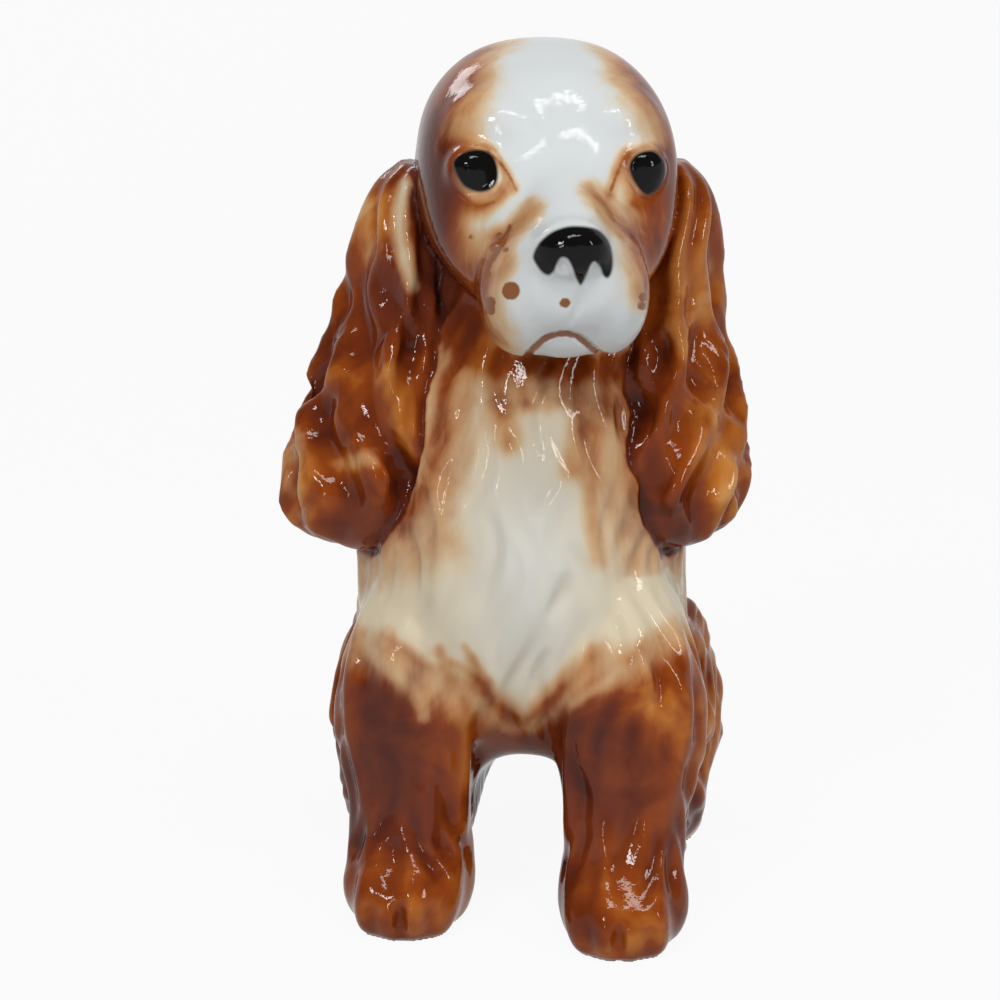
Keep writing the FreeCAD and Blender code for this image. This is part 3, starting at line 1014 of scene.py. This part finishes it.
@dataclass(frozen=True)
class Head(Casting):
    """The skull, muzzle and face. The places on the face are in pixels of the photograph.

    Args:
        nape: The coat behind the skull.
        passes: The airbrush's passes over the face.
        eyes: The outline of each eye.
        nose: The outline of the black nose.
        rim: The upper edge of the nose, where the clay is rubbed round.
        mouth: The line of the mouth.
        lines: The brown lines, each with half its width.
        spots: The freckles, each with its radius.
        folds: What stands out or sinks in.
        cuts: The mouth, the cleft under the nose and the nostrils.
        rings: How much larger than the eyes the furrows round them are.
        margins: How far past the marks' corners the facets are halved, and halved again.
    """

    node: str = "head_shell"
    slot: str = "cream_glaze"
    rub: int = 20
    nape: Comb = Comb((0, 0.4, -1), 18.0, 18.0, 3.0, 1.3, 0.40, 20.0, 13)
    passes: tuple[Airbrush, ...] = (
        Airbrush("head", ((422, 215), (418, 150), (434, 100), (458, 68)), 30, 1.0),
        Airbrush("head", ((460, 105), (454, 150)), 26, 0.5),
        Airbrush("head", ((450, 150), (444, 180), (456, 206), (484, 212)), 11, 0.55),
        Airbrush("head", ((434, 212), (444, 260), (454, 300), (478, 348)), 32, 1.0),
        Airbrush("head", ((460, 228), (468, 262), (474, 300)), 17, 0.55),
        Airbrush("head", ((534, 208), (512, 230), (490, 254), (478, 288), (476, 322)), 11, 0.62),
        Airbrush("head", ((494, 236), (506, 262), (488, 280)), 11, 0.45),
        Airbrush("head", ((476, 224), (500, 217)), 9, -0.5),
        Airbrush("head", ((487, 150), (501, 165), (513, 188)), 5.5, 0.55),
        Airbrush("head", ((466, 144), (449, 162), (455, 192), (478, 202), (500, 190)), 12, 0.5),
        Airbrush("head", ((457, 196), (476, 206), (494, 203), (504, 192)), 5, 0.55),
        Airbrush("head", ((455, 156), (466, 148), (482, 145), (494, 150)), 4, 0.45),
        Airbrush("head", ((480, 298), (480, 330), (492, 352)), 4.5, 0.5),
        Airbrush("head", ((680, 210), (678, 150), (660, 105), (630, 66)), 26, 0.6),
        Airbrush("head", ((671, 160), (672, 200)), 14, 0.8),
        Airbrush("head", ((656, 210), (653, 245), (658, 285)), 25, 1.0),
        Airbrush("head", ((590, 190), (609, 212), (632, 236), (648, 262)), 11, 0.58),
        Airbrush("head", ((628, 154), (617, 172), (610, 194)), 6, 0.6),
        Airbrush("head", ((628, 160), (632, 192), (650, 203), (668, 186)), 11, 0.6),
        Airbrush("head", ((634, 203), (648, 207), (662, 202)), 6, 0.6),
        Airbrush("head", ((636, 152), (648, 147), (662, 153)), 4, 0.4),
    )
    eyes: tuple[tuple[tuple[float, float], ...], ...] = (
        ((454, 165), (462, 154), (476, 150), (489, 153), (496, 164), (497, 179), (490, 189), (477, 191),
         (463, 184)),
        ((630, 166), (637, 155), (650, 151), (660, 156), (665, 168), (662, 182), (652, 193), (643, 192),
         (634, 180)),
    )
    nose: tuple[tuple[float, float], ...] = (
        (533, 257), (537, 246), (545, 237), (556, 230), (572, 226), (594, 228), (605, 235), (611, 246),
        (613, 262), (611, 274), (607, 278), (603, 275), (600, 267), (595, 262), (591, 265), (587, 274),
        (581, 285), (576, 278), (572, 267), (567, 259), (561, 258), (557, 264), (554, 271), (549, 275),
        (543, 273), (537, 266))
    rim: tuple[tuple[float, float], ...] = (
        (530, 262), (533, 244), (545, 229), (572, 220), (600, 223), (613, 236), (619, 258))
    mouth: tuple[tuple[float, float], ...] = (
        (526, 357), (535, 347), (546, 338), (560, 334), (574, 335), (586, 343), (597, 352), (611, 357))
    lines: tuple[tuple[tuple[tuple[float, float], ...], float], ...] = (
        (mouth, 2.9),
        (((488, 151), (501, 164), (510, 177), (516, 190)), 0.9),
        (((459, 195), (468, 203), (480, 206), (494, 202)), 0.7),
        (((626, 156), (618, 171), (611, 190)), 1.1),
    )
    spots: tuple[tuple[float, float, float], ...] = (
        (511, 291, 9.0), (490, 302, 5.5), (490, 310, 5.0), (565, 303, 4.6), (643, 297, 4.5), (642, 306, 4.0),
        (471, 237, 2.0), (484, 262, 4.0), (494, 248, 3.5), (500, 236, 3.5), (488, 275, 3.0), (506, 250, 2.5))
    folds: tuple[Fold, ...] = (
        Fold(((566, 158), (569, 180), (573, 205), (577, 232)), 7.5, -1.3),
        Fold(((536, 100), (545, 120), (548, 148)), 2.4, 0.4),
        Fold(((546, 160), (568, 150), (592, 162)), 3.0, -0.4),
        Fold(((566, 92), (568, 130), (566, 166)), 5.5, 0.9),
        Fold(((540, 168), (520, 200), (498, 245), (482, 300)), 3.2, 0.4),
        Fold(((584, 172), (606, 208), (630, 244), (648, 290)), 2.8, 0.4),
        Fold(((500, 115), (520, 128)), 5.0, -0.6),
        Fold(((612, 118), (630, 126)), 5.0, -0.6),
    )
    cuts: tuple[Fold, ...] = (
        Fold(mouth, 1.0, 0.75),
        Fold(((581, 288), (579, 302), (570, 326)), 0.9, 0.45),
        Fold(((560, 262), (564, 272)), 1.3, 0.9),
        Fold(((597, 266), (600, 276)), 1.3, 0.9),
    )
    rings: float = 1.16
    margins: tuple[float, ...] = (10.0, 2.0)

    def comb(self, figure: Figure) -> list[Groove]:
        """Soft grooves down the back of the skull."""
        own, normals = figure.area(self.node), figure.clay.normals()
        return figure.clay.combed(own & (normals[:, 1] > 0.1) & (figure.clay.points[:, 2] < 132), self.nape)

    def wash(self, work: Brushwork) -> None:
        """A white blaze over the crown and muzzle, brown at the sides and behind."""
        own = work.figure.area(self.node)
        points = work.figure.clay.points
        behind = ramp(points[:, 1], 0.0, 9.0) * ramp(138.5 - points[:, 2], 0.0, 5.0)
        crown = np.exp(-((work.pixels[:, 0] - 553) / 62) ** 2) * ramp(points[:, 2], 120.0, 132.0)
        beside = ramp(-work.facing, -0.5, -0.12) * (1 - crown) * ramp(points[:, 1], -36.0, -26.0)
        work.wash[own] = np.maximum(0.04, np.maximum(behind, beside))[own]
        work.cool[own] = 1.0
        work.spray(self.passes)
        for eye in self.eyes:
            work.draw(work.ink, eye, 0.7, ("head",), fill=True)
        work.draw(work.ink, self.nose, 0.0, ("head",), fill=True)
        for path, half in self.lines:
            work.draw(work.line, path, half, ("head",))
        work.draw(work.spot, ((510, 227), (502, 244), (491, 262), (485, 279)), 2.6, ("head",))
        for x, y, radius in self.spots:
            work.draw(work.spot, ((x - 0.5, y), (x + 0.5, y)), radius, ("head",))

    def finish(self, figure: Figure) -> None:
        """Models the brows and the bridge, refines the facets, and cuts the eyes, nose and mouth."""
        clay = figure.clay
        tree = clay.tree()
        clay.push(-clay.relief([fold.groove(tree) for fold in self.folds]))
        front = figure.area("head") & (VIEW.facing(clay.points, clay.normals()) > -0.3)
        clay.smooth(60, np.exp(-(apart(VIEW.pixels(clay.points), rounded(self.rim)) / 14) ** 2) * front)
        marks = [np.array(path) for path in (*self.eyes, self.nose, *(path for path, _ in self.lines))]
        for margin in self.margins:
            pixels = VIEW.pixels(clay.points)
            near = np.zeros(len(pixels), bool)
            for mark in marks:
                near |= boxed(pixels, mark.min(axis=0) - margin, mark.max(axis=0) + margin)
            figure.refine(near & (VIEW.facing(clay.points, clay.normals()) > 0.05) & figure.area("head"))
        clay.smooth(4, clay.blurred(figure.area("head").astype(float), 2))
        tree = clay.tree()
        rings = []
        for eye in self.eyes:
            middle = np.mean(eye, axis=0)
            ring = tuple(tuple(middle + (np.array(corner) - middle) * self.rings) for corner in eye)
            rings.append(Fold(ring, 0.9, 0.30).groove(tree, closed=True))
        clay.push(-clay.relief(rings))
        clay.push(-clay.relief([cut.groove(tree) for cut in self.cuts]))


@dataclass(frozen=True)
class Ear(Casting):
    """A long ear, smooth leather above and thick curls below.

    Args:
        curls: The thick curls.
        strands: The fine strands on them.
        passes: The airbrush's passes, which wipe the wash thinner: a pale strip by the cheek, and painted
            highlights on the leather and the curls.
    """

    slot: str = "chestnut_glaze"
    rub: int = 6
    curls: Comb = Comb((0, 0, -1), 40.0, 18.0, 6.4, 3.2, 1.9, 34.0, 21)
    strands: Comb = Comb((0, 0, -1), 40.0, 18.0, 2.6, 1.3, 0.30, 18.0, 22)
    passes: tuple[Airbrush, ...] = (
        Airbrush("right_ear", ((406, 184), (399, 215), (402, 250), (413, 286)), 8, -0.75),
        # painted highlights: the wash is wiped thinner where light catches the leather and the curls
        Airbrush("right_ear", ((362, 205), (366, 250)), 16, -0.25),
        Airbrush("ear", ((340, 465), (372, 458)), 10, -0.3),
        Airbrush("ear", ((296, 440), (292, 490)), 12, -0.3),
    )

    def wash(self, work: Brushwork) -> None:
        """Brown all over, wiped thinner in a pale strip by the cheek and lighter where painted highlights lie
        on the leather and the curls.
        """
        super().wash(work)
        work.spray(self.passes)

    def comb(self, figure: Figure) -> list[Groove]:
        """Deep waves between the curls, and fine strands on them."""
        own, points = figure.area(self.node), figure.clay.points
        return (figure.clay.combed(own & (points[:, 2] < 103), self.curls)
                + figure.clay.combed(own & (points[:, 2] < 98), self.strands))


@dataclass(frozen=True)
class Foreleg(Casting):
    """A foreleg and its paw.

    Args:
        feather: The coat on the leg.
        toes: How far to each side of the paw's middle its clefts lie, in millimetres.
    """

    slot: str = "chestnut_glaze"
    rub: int = 30
    feather: Comb = Comb((0, 0.1, -1), 24.0, 22.0, 4.6, 2.3, 0.8, 26.0, 31)
    toes: tuple[float, ...] = (-5.0, 0.0, 5.0)

    def comb(self, figure: Figure) -> list[Groove]:
        """Soft strands down the leg, and the clefts between the toes."""
        clay = figure.clay
        own = figure.area(self.node)
        grooves = clay.combed(own & (clay.points[:, 2] > 9), self.feather)
        low = clay.points[own & (clay.points[:, 2] < 8)]
        middle = (low[:, 0].min() + low[:, 0].max()) / 2
        tree = clay.tree()
        for shift in self.toes:
            path = []
            for level in np.linspace(0.6, 6.5, 7):
                place, _, _, _ = tree.ray_cast(Vector((middle + shift, -80, level)), Vector((0, 1, 0)))
                path.append(list(place))
            grooves.append(Groove(np.array(path), 2.2, 0.4))
        return grooves

    def wash(self, work: Brushwork) -> None:
        """Brown, pale where the chest's cream runs over the shoulder."""
        own = work.figure.area(self.node)
        work.wash[own] = work.under_bib()[own]


@dataclass(frozen=True)
class Haunch(Casting):
    """A thigh.

    Args:
        curl: The coat, which curls round the hip.
    """

    slot: str = "chestnut_glaze"
    rub: int = 12
    curl: Comb = Comb((0, 0.5, -1), 26.0, 16.0, 3.4, 1.7, 0.7, 26.0, 41, hub=(0, 14, 16))

    def comb(self, figure: Figure) -> list[Groove]:
        """Grooves that curl from the hip round to the floor."""
        own = figure.area(self.node)
        return figure.clay.combed(own & (figure.clay.points[:, 2] > 2), self.curl)


@dataclass(frozen=True)
class HindPaw(Casting):
    """A hind paw, which comes out from under its thigh."""

    slot: str = "chestnut_glaze"
    rub: int = 4


@dataclass(frozen=True)
class Tail(Casting):
    """The docked tail.

    Args:
        tuft: The coat on it.
    """

    slot: str = "chestnut_glaze"
    rub: int = 4
    tuft: Comb = Comb((0, 1, 0.6), 10.0, 12.0, 2.2, 1.1, 0.4, 12.0, 51)

    def comb(self, figure: Figure) -> list[Groove]:
        """Short grooves along the tail."""
        return figure.clay.combed(figure.area(self.node), self.tuft)


def all_castings() -> list[Casting]:
    """Every sub-assembly of the figure."""
    castings = [Torso(), Head(), Tail("tail")]
    for side in Side:
        castings += [Ear(side.value + "_ear"), Foreleg(side.value + "_foreleg"),
                     Haunch(side.value + "_haunch"), HindPaw(side.value + "_hind_paw")]
    return castings


def sculpt(frame: dict, castings: list[Casting]) -> Figure:
    """Models the coat and the face on one skin.

    Args:
        frame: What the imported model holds.
        castings: The sub-assemblies.

    Returns:
        The modelled figure.
    """
    figure = Figure(frame["nodes"], FACET)
    clay = figure.clay
    LOG.info("skin of %d points", len(clay.points))
    clay.smooth(3)
    joins = figure.join(("torso",), ("leg", "haunch", "paw", "tail", "head"), 10)
    clay.smooth(26, joins)
    rub = clay.blurred(sum(casting.rub * figure.area(casting.node) for casting in castings).astype(float), 4)
    for step in range(math.ceil(rub.max())):
        clay.smooth(1, np.clip(rub - step, 0, 1))
    clay.sharpen(22, 0.8 * clay.blurred(figure.area("ear").astype(float), 6))
    grooves = []
    for casting in castings:
        grooves += casting.comb(figure)
    LOG.info("%d grooves", len(grooves))
    clay.push(-clay.relief(grooves))
    creases = figure.join(("ear",), ("head", "torso"), 5)
    clay.push(-0.7 * creases ** 2)
    clay.smooth(2)
    for casting in castings:
        casting.finish(figure)
    figure.settle()
    return figure


def paint(figure: Figure, castings: list[Casting]) -> list[tuple[Casting, bpy.types.Object]]:
    """Paints the figure and parts it.

    Args:
        figure: The modelled figure.
        castings: The sub-assemblies.

    Returns:
        Each sub-assembly with its piece.
    """
    work = Brushwork(figure)
    for casting in castings:
        casting.wash(work)
    work.spray(Torso().passes)  # once more, now that the legs below the bib have their wash
    work.paint_light_and_tone()
    work.crease_wash_and_shade()
    work.store()
    return [(casting, figure.piece(casting.node, casting.node + "_glazed")) for casting in castings]


class Socket(Enum):
    """Kinds of node group sockets."""

    NUMBER = "NodeSocketFloat"
    COLOUR = "NodeSocketColor"


class Graph:
    """A node tree under construction."""

    def __init__(self, tree: bpy.types.NodeTree) -> None:
        """Takes an empty tree."""
        self.tree = tree

    @classmethod
    def emptied(cls, owner: bpy.types.Material | bpy.types.World) -> "Graph":
        """The node tree of a material or a world, with nothing left in it."""
        owner.use_nodes = True
        owner.node_tree.nodes.clear()
        return cls(owner.node_tree)

    def node(self, kind: str, inputs: dict | None = None, **settings: object) -> bpy.types.Node:
        """Adds a node.

        Args:
            kind: The node's type.
            inputs: A value or a source socket for each input, by name or number.
            settings: Its own properties.

        Returns:
            The node.
        """
        made = self.tree.nodes.new(kind)
        for name, value in settings.items():
            setattr(made, name, value)
        for name, value in (inputs or {}).items():
            socket = made.inputs[name]
            if isinstance(value, bpy.types.NodeSocket):
                self.tree.links.new(value, socket)
            else:
                socket.default_value = value
        return made

    def math(self, operation: str, *values: object, clamp: bool = False) -> bpy.types.NodeSocket:
        """One sum of a Math node."""
        made = self.node("ShaderNodeMath", dict(enumerate(values)), operation=operation, use_clamp=clamp)
        return made.outputs[0]

    def between(self, value: object, start: float, end: float) -> bpy.types.NodeSocket:
        """A smooth step of a value from 0 at start to 1 at end."""
        made = self.node("ShaderNodeMapRange", {"Value": value, "From Min": start, "From Max": end},
                         interpolation_type="SMOOTHSTEP")
        return made.outputs["Result"]

    def mix(self, share: object, first: object, second: object) -> bpy.types.NodeSocket:
        """One colour turning into another."""
        return self.node("ShaderNodeMix", {0: share, 6: first, 7: second}, data_type="RGBA").outputs[2]

    def attribute(self, name: str) -> bpy.types.NodeSocket:
        """A value that the brushes left on the skin."""
        return self.node("ShaderNodeAttribute", attribute_name=name).outputs["Fac"]


def colour(red: float, green: float, blue: float) -> tuple[float, float, float, float]:
    """An opaque colour, in linear light."""
    return red, green, blue, 1.0


def group(name: str, inputs: dict[str, tuple[Socket, object]], outputs: dict[str, Socket]
          ) -> tuple[bpy.types.NodeTree, Graph, bpy.types.Node, bpy.types.Node]:
    """Starts a shader node group.

    Args:
        name: Its name.
        inputs: Kind and default value of each input.
        outputs: Kind of each output.

    Returns:
        The tree, its graph, its input node and its output node.
    """
    tree = bpy.data.node_groups.new(name, "ShaderNodeTree")
    for label, (kind, value) in inputs.items():
        tree.interface.new_socket(label, in_out="INPUT", socket_type=kind.value).default_value = value
    for label, kind in outputs.items():
        tree.interface.new_socket(label, in_out="OUTPUT", socket_type=kind.value)
    graph = Graph(tree)
    return tree, graph, graph.node("NodeGroupInput"), graph.node("NodeGroupOutput")


def mottle_group() -> bpy.types.NodeTree:
    """Uneven glaze: broad patches, streaks and fine specks, from 0 to 1."""
    tree, graph, _, out = group("glaze_mottle", {}, {"Patches": Socket.NUMBER, "Specks": Socket.NUMBER,
                                                     "Streaks": Socket.NUMBER})
    place = graph.node("ShaderNodeTexCoord").outputs["Object"]
    patches = graph.node("ShaderNodeTexNoise", {"Vector": place, "Scale": 75.0, "Detail": 3.0,
                                                "Roughness": 0.55, "Distortion": 0.6})
    specks = graph.node("ShaderNodeTexNoise", {"Vector": place, "Scale": 900.0, "Detail": 2.0,
                                               "Roughness": 0.6})
    thin = graph.node("ShaderNodeMapping", {"Vector": place, "Scale": (1.0, 1.0, 0.28)})
    streaks = graph.node("ShaderNodeTexNoise", {"Vector": thin.outputs[0], "Scale": 330.0, "Detail": 3.0,
                                                "Roughness": 0.6, "Distortion": 0.4})
    for label, node in (("Patches", patches), ("Specks", specks), ("Streaks", streaks)):
        graph.tree.links.new(graph.between(node.outputs["Fac"], 0.3, 0.7), out.inputs[label])
    return tree


def wash_group() -> bpy.types.NodeTree:
    """The brown wash over white clay, darker in hollows, partly where it pools and partly as painted shade,
    orange where it thins, and dulled towards purple-brown by painted shade and sheen.
    """
    tree, graph, into, out = group(
        "brown_wash",
        {"Wash": (Socket.NUMBER, 0.0), "Hollow": (Socket.NUMBER, 0.0), "Cool": (Socket.NUMBER, 0.0),
         "Painted_Light_And_Tone": (Socket.NUMBER, 0.0), "Patches": (Socket.NUMBER, 0.5), "Streaks": (Socket.NUMBER, 0.5)},
        {"Colour": Socket.COLOUR})
    given = into.outputs
    patchy = graph.math("MULTIPLY_ADD", given["Patches"], 0.14, -0.15)
    wobble = graph.math("MULTIPLY_ADD", given["Streaks"], 0.16, patchy)
    bare = graph.math("SUBTRACT", 1.15, given["Wash"])
    edge = graph.math("MULTIPLY", graph.math("MULTIPLY", given["Wash"], bare), 2.6)
    thick = graph.math("MULTIPLY_ADD", wobble, edge, given["Wash"])
    # darker in hollows: partly where the wash pools, partly painted shade
    pooled_and_shaded = graph.math("MULTIPLY_ADD", graph.math("MULTIPLY", given["Hollow"], given["Wash"]), 0.16, thick)
    cover = graph.between(pooled_and_shaded, 0.08, 0.92)
    depth = graph.math("MULTIPLY_ADD", pooled_and_shaded, 0.68, -0.30)
    depth = graph.math("MULTIPLY_ADD", given["Patches"], 0.34, depth)
    # the browns deepen in hollows, partly from pooling and partly as painted shade
    depth = graph.math("MULTIPLY_ADD", given["Hollow"], 0.15, depth)
    # painted shade darkens the browns and painted highlight lightens them; some of it is the wash's own
    # darker tone
    depth = graph.math("MULTIPLY_ADD", given["Painted_Light_And_Tone"], 0.26, depth)
    browns = graph.node("ShaderNodeValToRGB", {"Fac": depth})
    stops = browns.color_ramp
    table = ((0.0, (0.64, 0.33, 0.11)), (0.2, (0.50, 0.165, 0.026)), (0.42, (0.30, 0.060, 0.007)),
             (0.64, (0.18, 0.030, 0.005)), (0.86, (0.09, 0.014, 0.005)), (1.0, (0.045, 0.008, 0.005)))
    while len(stops.elements) < len(table):
        stops.elements.new(0.5)
    for element, (place, shade) in zip(stops.elements, table):
        element.position = place
        element.color = colour(*shade)
    # painted shade and sheen: the browns turn towards a dull purple-brown
    painted_sheen_share = graph.math("MULTIPLY", given["Painted_Light_And_Tone"], 0.35)
    browns_with_painted_light = graph.mix(painted_sheen_share, browns.outputs["Color"], colour(0.15, 0.042, 0.028))
    clean = graph.math("MULTIPLY", given["Cool"], graph.between(thick, 0.34, 0.03))
    pale = graph.mix(clean, colour(0.74, 0.64, 0.46), colour(0.70, 0.735, 0.74))
    # painted shade: the pale clay turns tan in hollows
    shaded = graph.mix(graph.math("MULTIPLY", graph.between(given["Hollow"], 0.0, 1.0), 0.35), pale,
                       colour(0.62, 0.50, 0.32))
    half = graph.math("MULTIPLY", cover, graph.math("SUBTRACT", 1.0, cover))
    covered = graph.mix(cover, shaded, browns_with_painted_light)
    glow = graph.mix(graph.math("MULTIPLY", half, 1.5), covered, colour(0.55, 0.25, 0.065))
    graph.tree.links.new(glow, out.inputs["Colour"])
    return tree


def marks_group() -> bpy.types.NodeTree:
    """Brush marks over the wash: brown lines, freckles and black."""
    tree, graph, into, out = group(
        "brush_marks",
        {"Under": (Socket.COLOUR, colour(1, 1, 1)), "Ink": (Socket.NUMBER, 9.0), "Line": (Socket.NUMBER, 9.0),
         "Spot": (Socket.NUMBER, 9.0), "Specks": (Socket.NUMBER, 0.5)},
        {"Colour": Socket.COLOUR})
    given = into.outputs
    ragged = graph.math("MULTIPLY_ADD", given["Specks"], 1.2, -0.6)
    spot = graph.between(graph.math("ADD", given["Spot"], ragged), 1.2, -1.2)
    line = graph.between(graph.math("ADD", given["Line"], ragged), 1.6, -1.2)
    ink = graph.between(given["Ink"], 2.0, -2.0)
    found = graph.mix(graph.math("MULTIPLY", spot, 0.98), given["Under"], colour(0.27, 0.085, 0.018))
    found = graph.mix(graph.math("MULTIPLY", line, 0.9), found, colour(0.32, 0.095, 0.02))
    graph.tree.links.new(graph.mix(ink, found, colour(0.004, 0.0035, 0.0035)), out.inputs["Colour"])
    return tree


@dataclass(frozen=True)
class Glaze:
    """A clear gloss over the painted clay.

    Args:
        name: Its name.
        face: Whether the painted face marks go on it.
        roughness: Of the clay under the gloss.
        gloss: Roughness of the gloss.
    """

    name: str
    face: bool
    roughness: float = 0.32
    gloss: float = 0.035

    def material(self, groups: dict[str, bpy.types.NodeTree]) -> bpy.types.Material:
        """Makes the material from the shared groups."""
        made = bpy.data.materials.new(self.name)
        graph = Graph.emptied(made)
        mottle = graph.node("ShaderNodeGroup", node_tree=groups["mottle"]).outputs
        brushed = {label: graph.attribute(label.lower()) for label in ("Wash", "Hollow", "Cool", "Painted_Light_And_Tone")}
        uneven = {label: mottle[label] for label in ("Patches", "Streaks")}
        found = graph.node("ShaderNodeGroup", brushed | uneven, node_tree=groups["wash"]).outputs["Colour"]
        if self.face:
            drawn = {label: graph.attribute(label.lower()) for label in ("Ink", "Line", "Spot")}
            drawn |= {"Under": found, "Specks": mottle["Specks"]}
            found = graph.node("ShaderNodeGroup", drawn, node_tree=groups["marks"]).outputs["Colour"]
        bump = graph.node("ShaderNodeBump", {"Strength": 0.05, "Distance": 0.0004,
                                             "Height": mottle["Specks"]})
        shader = graph.node("ShaderNodeBsdfPrincipled", {
            "Base Color": found, "Roughness": self.roughness, "IOR": 1.45, "Specular IOR Level": 0.0,
            "Coat Weight": 0.64, "Coat Roughness": self.gloss, "Coat IOR": 1.34,
            "Coat Normal": bump.outputs[0]})
        graph.node("ShaderNodeOutputMaterial", {"Surface": shader.outputs[0]})
        return made


@dataclass(frozen=True)
class Softbox:
    """A flat lamp.

    Args:
        place: Its middle, in metres.
        size: Width and height, in metres.
        power: In watts.
    """

    place: tuple[float, float, float]
    size: tuple[float, float]
    power: float

    def light(self, name: str, target: Vector) -> None:
        """Hangs the lamp and turns it to the figure."""
        lamp = bpy.data.lights.new(name, "AREA")
        lamp.shape = "RECTANGLE"
        lamp.size, lamp.size_y = self.size
        lamp.energy = self.power
        holder = set_out(name, lamp)
        holder.location = self.place
        holder.rotation_euler = (target - Vector(self.place)).to_track_quat("-Z", "Y").to_euler()


@dataclass(frozen=True)
class Studio:
    """Pale floor and backdrop, soft lamps and the camera.

    Args:
        half_floor: Half the floor's width, and its reach in front, in metres.
        back: Where the backdrop stands, in metres.
        height: Of the backdrop, in metres.
        curve: Radius of the sweep between floor and backdrop, in metres.
        steps: How many flats the sweep is bent from.
        ambient: Strength of the light from all round.
        band: How much whiter the low part of the room is to the eye.
        aim: What the lamps are turned to, in metres.
        lamps: The lamps.
    """

    half_floor: float = 1.6
    back: float = 0.9
    height: float = 1.5
    curve: float = 0.35
    steps: int = 12
    ambient: float = 0.165
    band: float = 0.75
    aim: tuple[float, float, float] = (0.0, 0.0, 0.07)
    lamps: tuple[Softbox, ...] = (
        Softbox((-0.35, -0.75, 0.70), (0.18, 0.12), 2.9),
        Softbox((0.65, -0.40, 0.45), (0.10, 0.24), 1.7),
        Softbox((0.12, -0.40, 0.95), (0.50, 0.10), 2.8),
        Softbox((-0.22, -0.85, 0.36), (0.07, 0.16), 0.7),
        Softbox((-0.5, 0.75, 0.6), (0.25, 0.25), 1.1),
    )

    def sweep(self) -> bpy.types.Object:
        """A floor that curves up into the backdrop."""
        bm = bmesh.new()
        section = [(-self.half_floor, 0.0), (self.back - self.curve, 0.0)]
        for step in range(1, self.steps + 1):
            turn = FULL_CIRCLE / 4 * step / self.steps
            section.append((self.back - self.curve + self.curve * math.sin(turn),
                            self.curve - self.curve * math.cos(turn)))
        section.append((self.back, self.height))
        verts = [bm.verts.new((-self.half_floor, y, z)) for y, z in section]
        edges = [bm.edges.new(pair) for pair in zip(verts, verts[1:])]
        made = bmesh.ops.extrude_edge_only(bm, edges=edges)
        far = [item for item in made["geom"] if isinstance(item, bmesh.types.BMVert)]
        bmesh.ops.translate(bm, vec=(2 * self.half_floor, 0, 0), verts=far)
        bmesh.ops.recalc_face_normals(bm, faces=bm.faces)
        mesh = made_mesh(bm, "sweep")
        mesh.shade_smooth()
        sweep = set_out("sweep", mesh)
        return sweep

    @staticmethod
    def seen(graph: Graph) -> bpy.types.NodeSocket:
        """1 where the camera, a reflection or a clear body looks, 0 where light only bounces."""
        path = graph.node("ShaderNodeLightPath").outputs
        return graph.math("MAXIMUM", path["Is Camera Ray"],
                          graph.math("MAXIMUM", path["Is Glossy Ray"], path["Is Transmission Ray"]))

    def paper(self) -> bpy.types.Material:
        """White paper that stays white to the camera and in reflections, and keeps a little shadow."""
        made = bpy.data.materials.new("paper")
        graph = Graph.emptied(made)
        plain = graph.node("ShaderNodeBsdfDiffuse", {"Color": colour(0.62, 0.62, 0.62)})
        bright = graph.node("ShaderNodeEmission", {"Color": colour(1, 1, 1), "Strength": 1.0})
        mixed = graph.node("ShaderNodeMixShader", {0: graph.math("MULTIPLY", self.seen(graph), 0.93),
                                                   1: plain.outputs[0], 2: bright.outputs[0]})
        graph.node("ShaderNodeOutputMaterial", {"Surface": mixed.outputs[0]})
        return made

    def room(self) -> bpy.types.World:
        """Soft light from all round, and a low pale band for the camera and the gloss to see."""
        world = bpy.data.worlds.new("room")
        graph = Graph.emptied(world)
        way = graph.node("ShaderNodeTexCoord").outputs["Generated"]
        level = graph.node("ShaderNodeSeparateXYZ", {"Vector": way}).outputs["Z"]
        low = graph.math("MULTIPLY", self.seen(graph), graph.between(level, 0.30, 0.15))
        light = graph.node("ShaderNodeBackground", {
            "Color": colour(1, 1, 1), "Strength": graph.math("MULTIPLY_ADD", low, self.band, self.ambient)})
        graph.node("ShaderNodeOutputWorld", {"Surface": light.outputs[0]})
        return world

    def build(self) -> None:
        """Sets the stage."""
        self.sweep().data.materials.append(self.paper())
        bpy.context.scene.world = self.room()
        for index, lamp in enumerate(self.lamps):
            lamp.light(f"softbox_{index}", Vector(self.aim))
        VIEW.place()
        bpy.context.scene.view_settings.view_transform = "Standard"


def main() -> None:
    """Builds the ornament and its stage."""
    logging.basicConfig(level=logging.INFO, format="%(name)s %(message)s")
    for stray in list(bpy.data.objects):
        bpy.data.objects.remove(stray)
    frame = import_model()
    groups = {"mottle": mottle_group(), "wash": wash_group(), "marks": marks_group()}
    brown = Glaze("chestnut_gloss", face=False).material(groups)
    cream = Glaze("cream_gloss", face=False).material(groups)
    faced = Glaze("face_gloss", face=True).material(groups)
    castings = all_castings()
    for casting, piece in paint(sculpt(frame, castings), castings):
        plain = cream if casting.slot == "cream_glaze" else brown
        piece.data.materials.append(faced if isinstance(casting, Head) else plain)
        LOG.info("%s stands for %s", piece.name, casting.node)
    Studio().build()


if __name__ == "__main__":
    main()
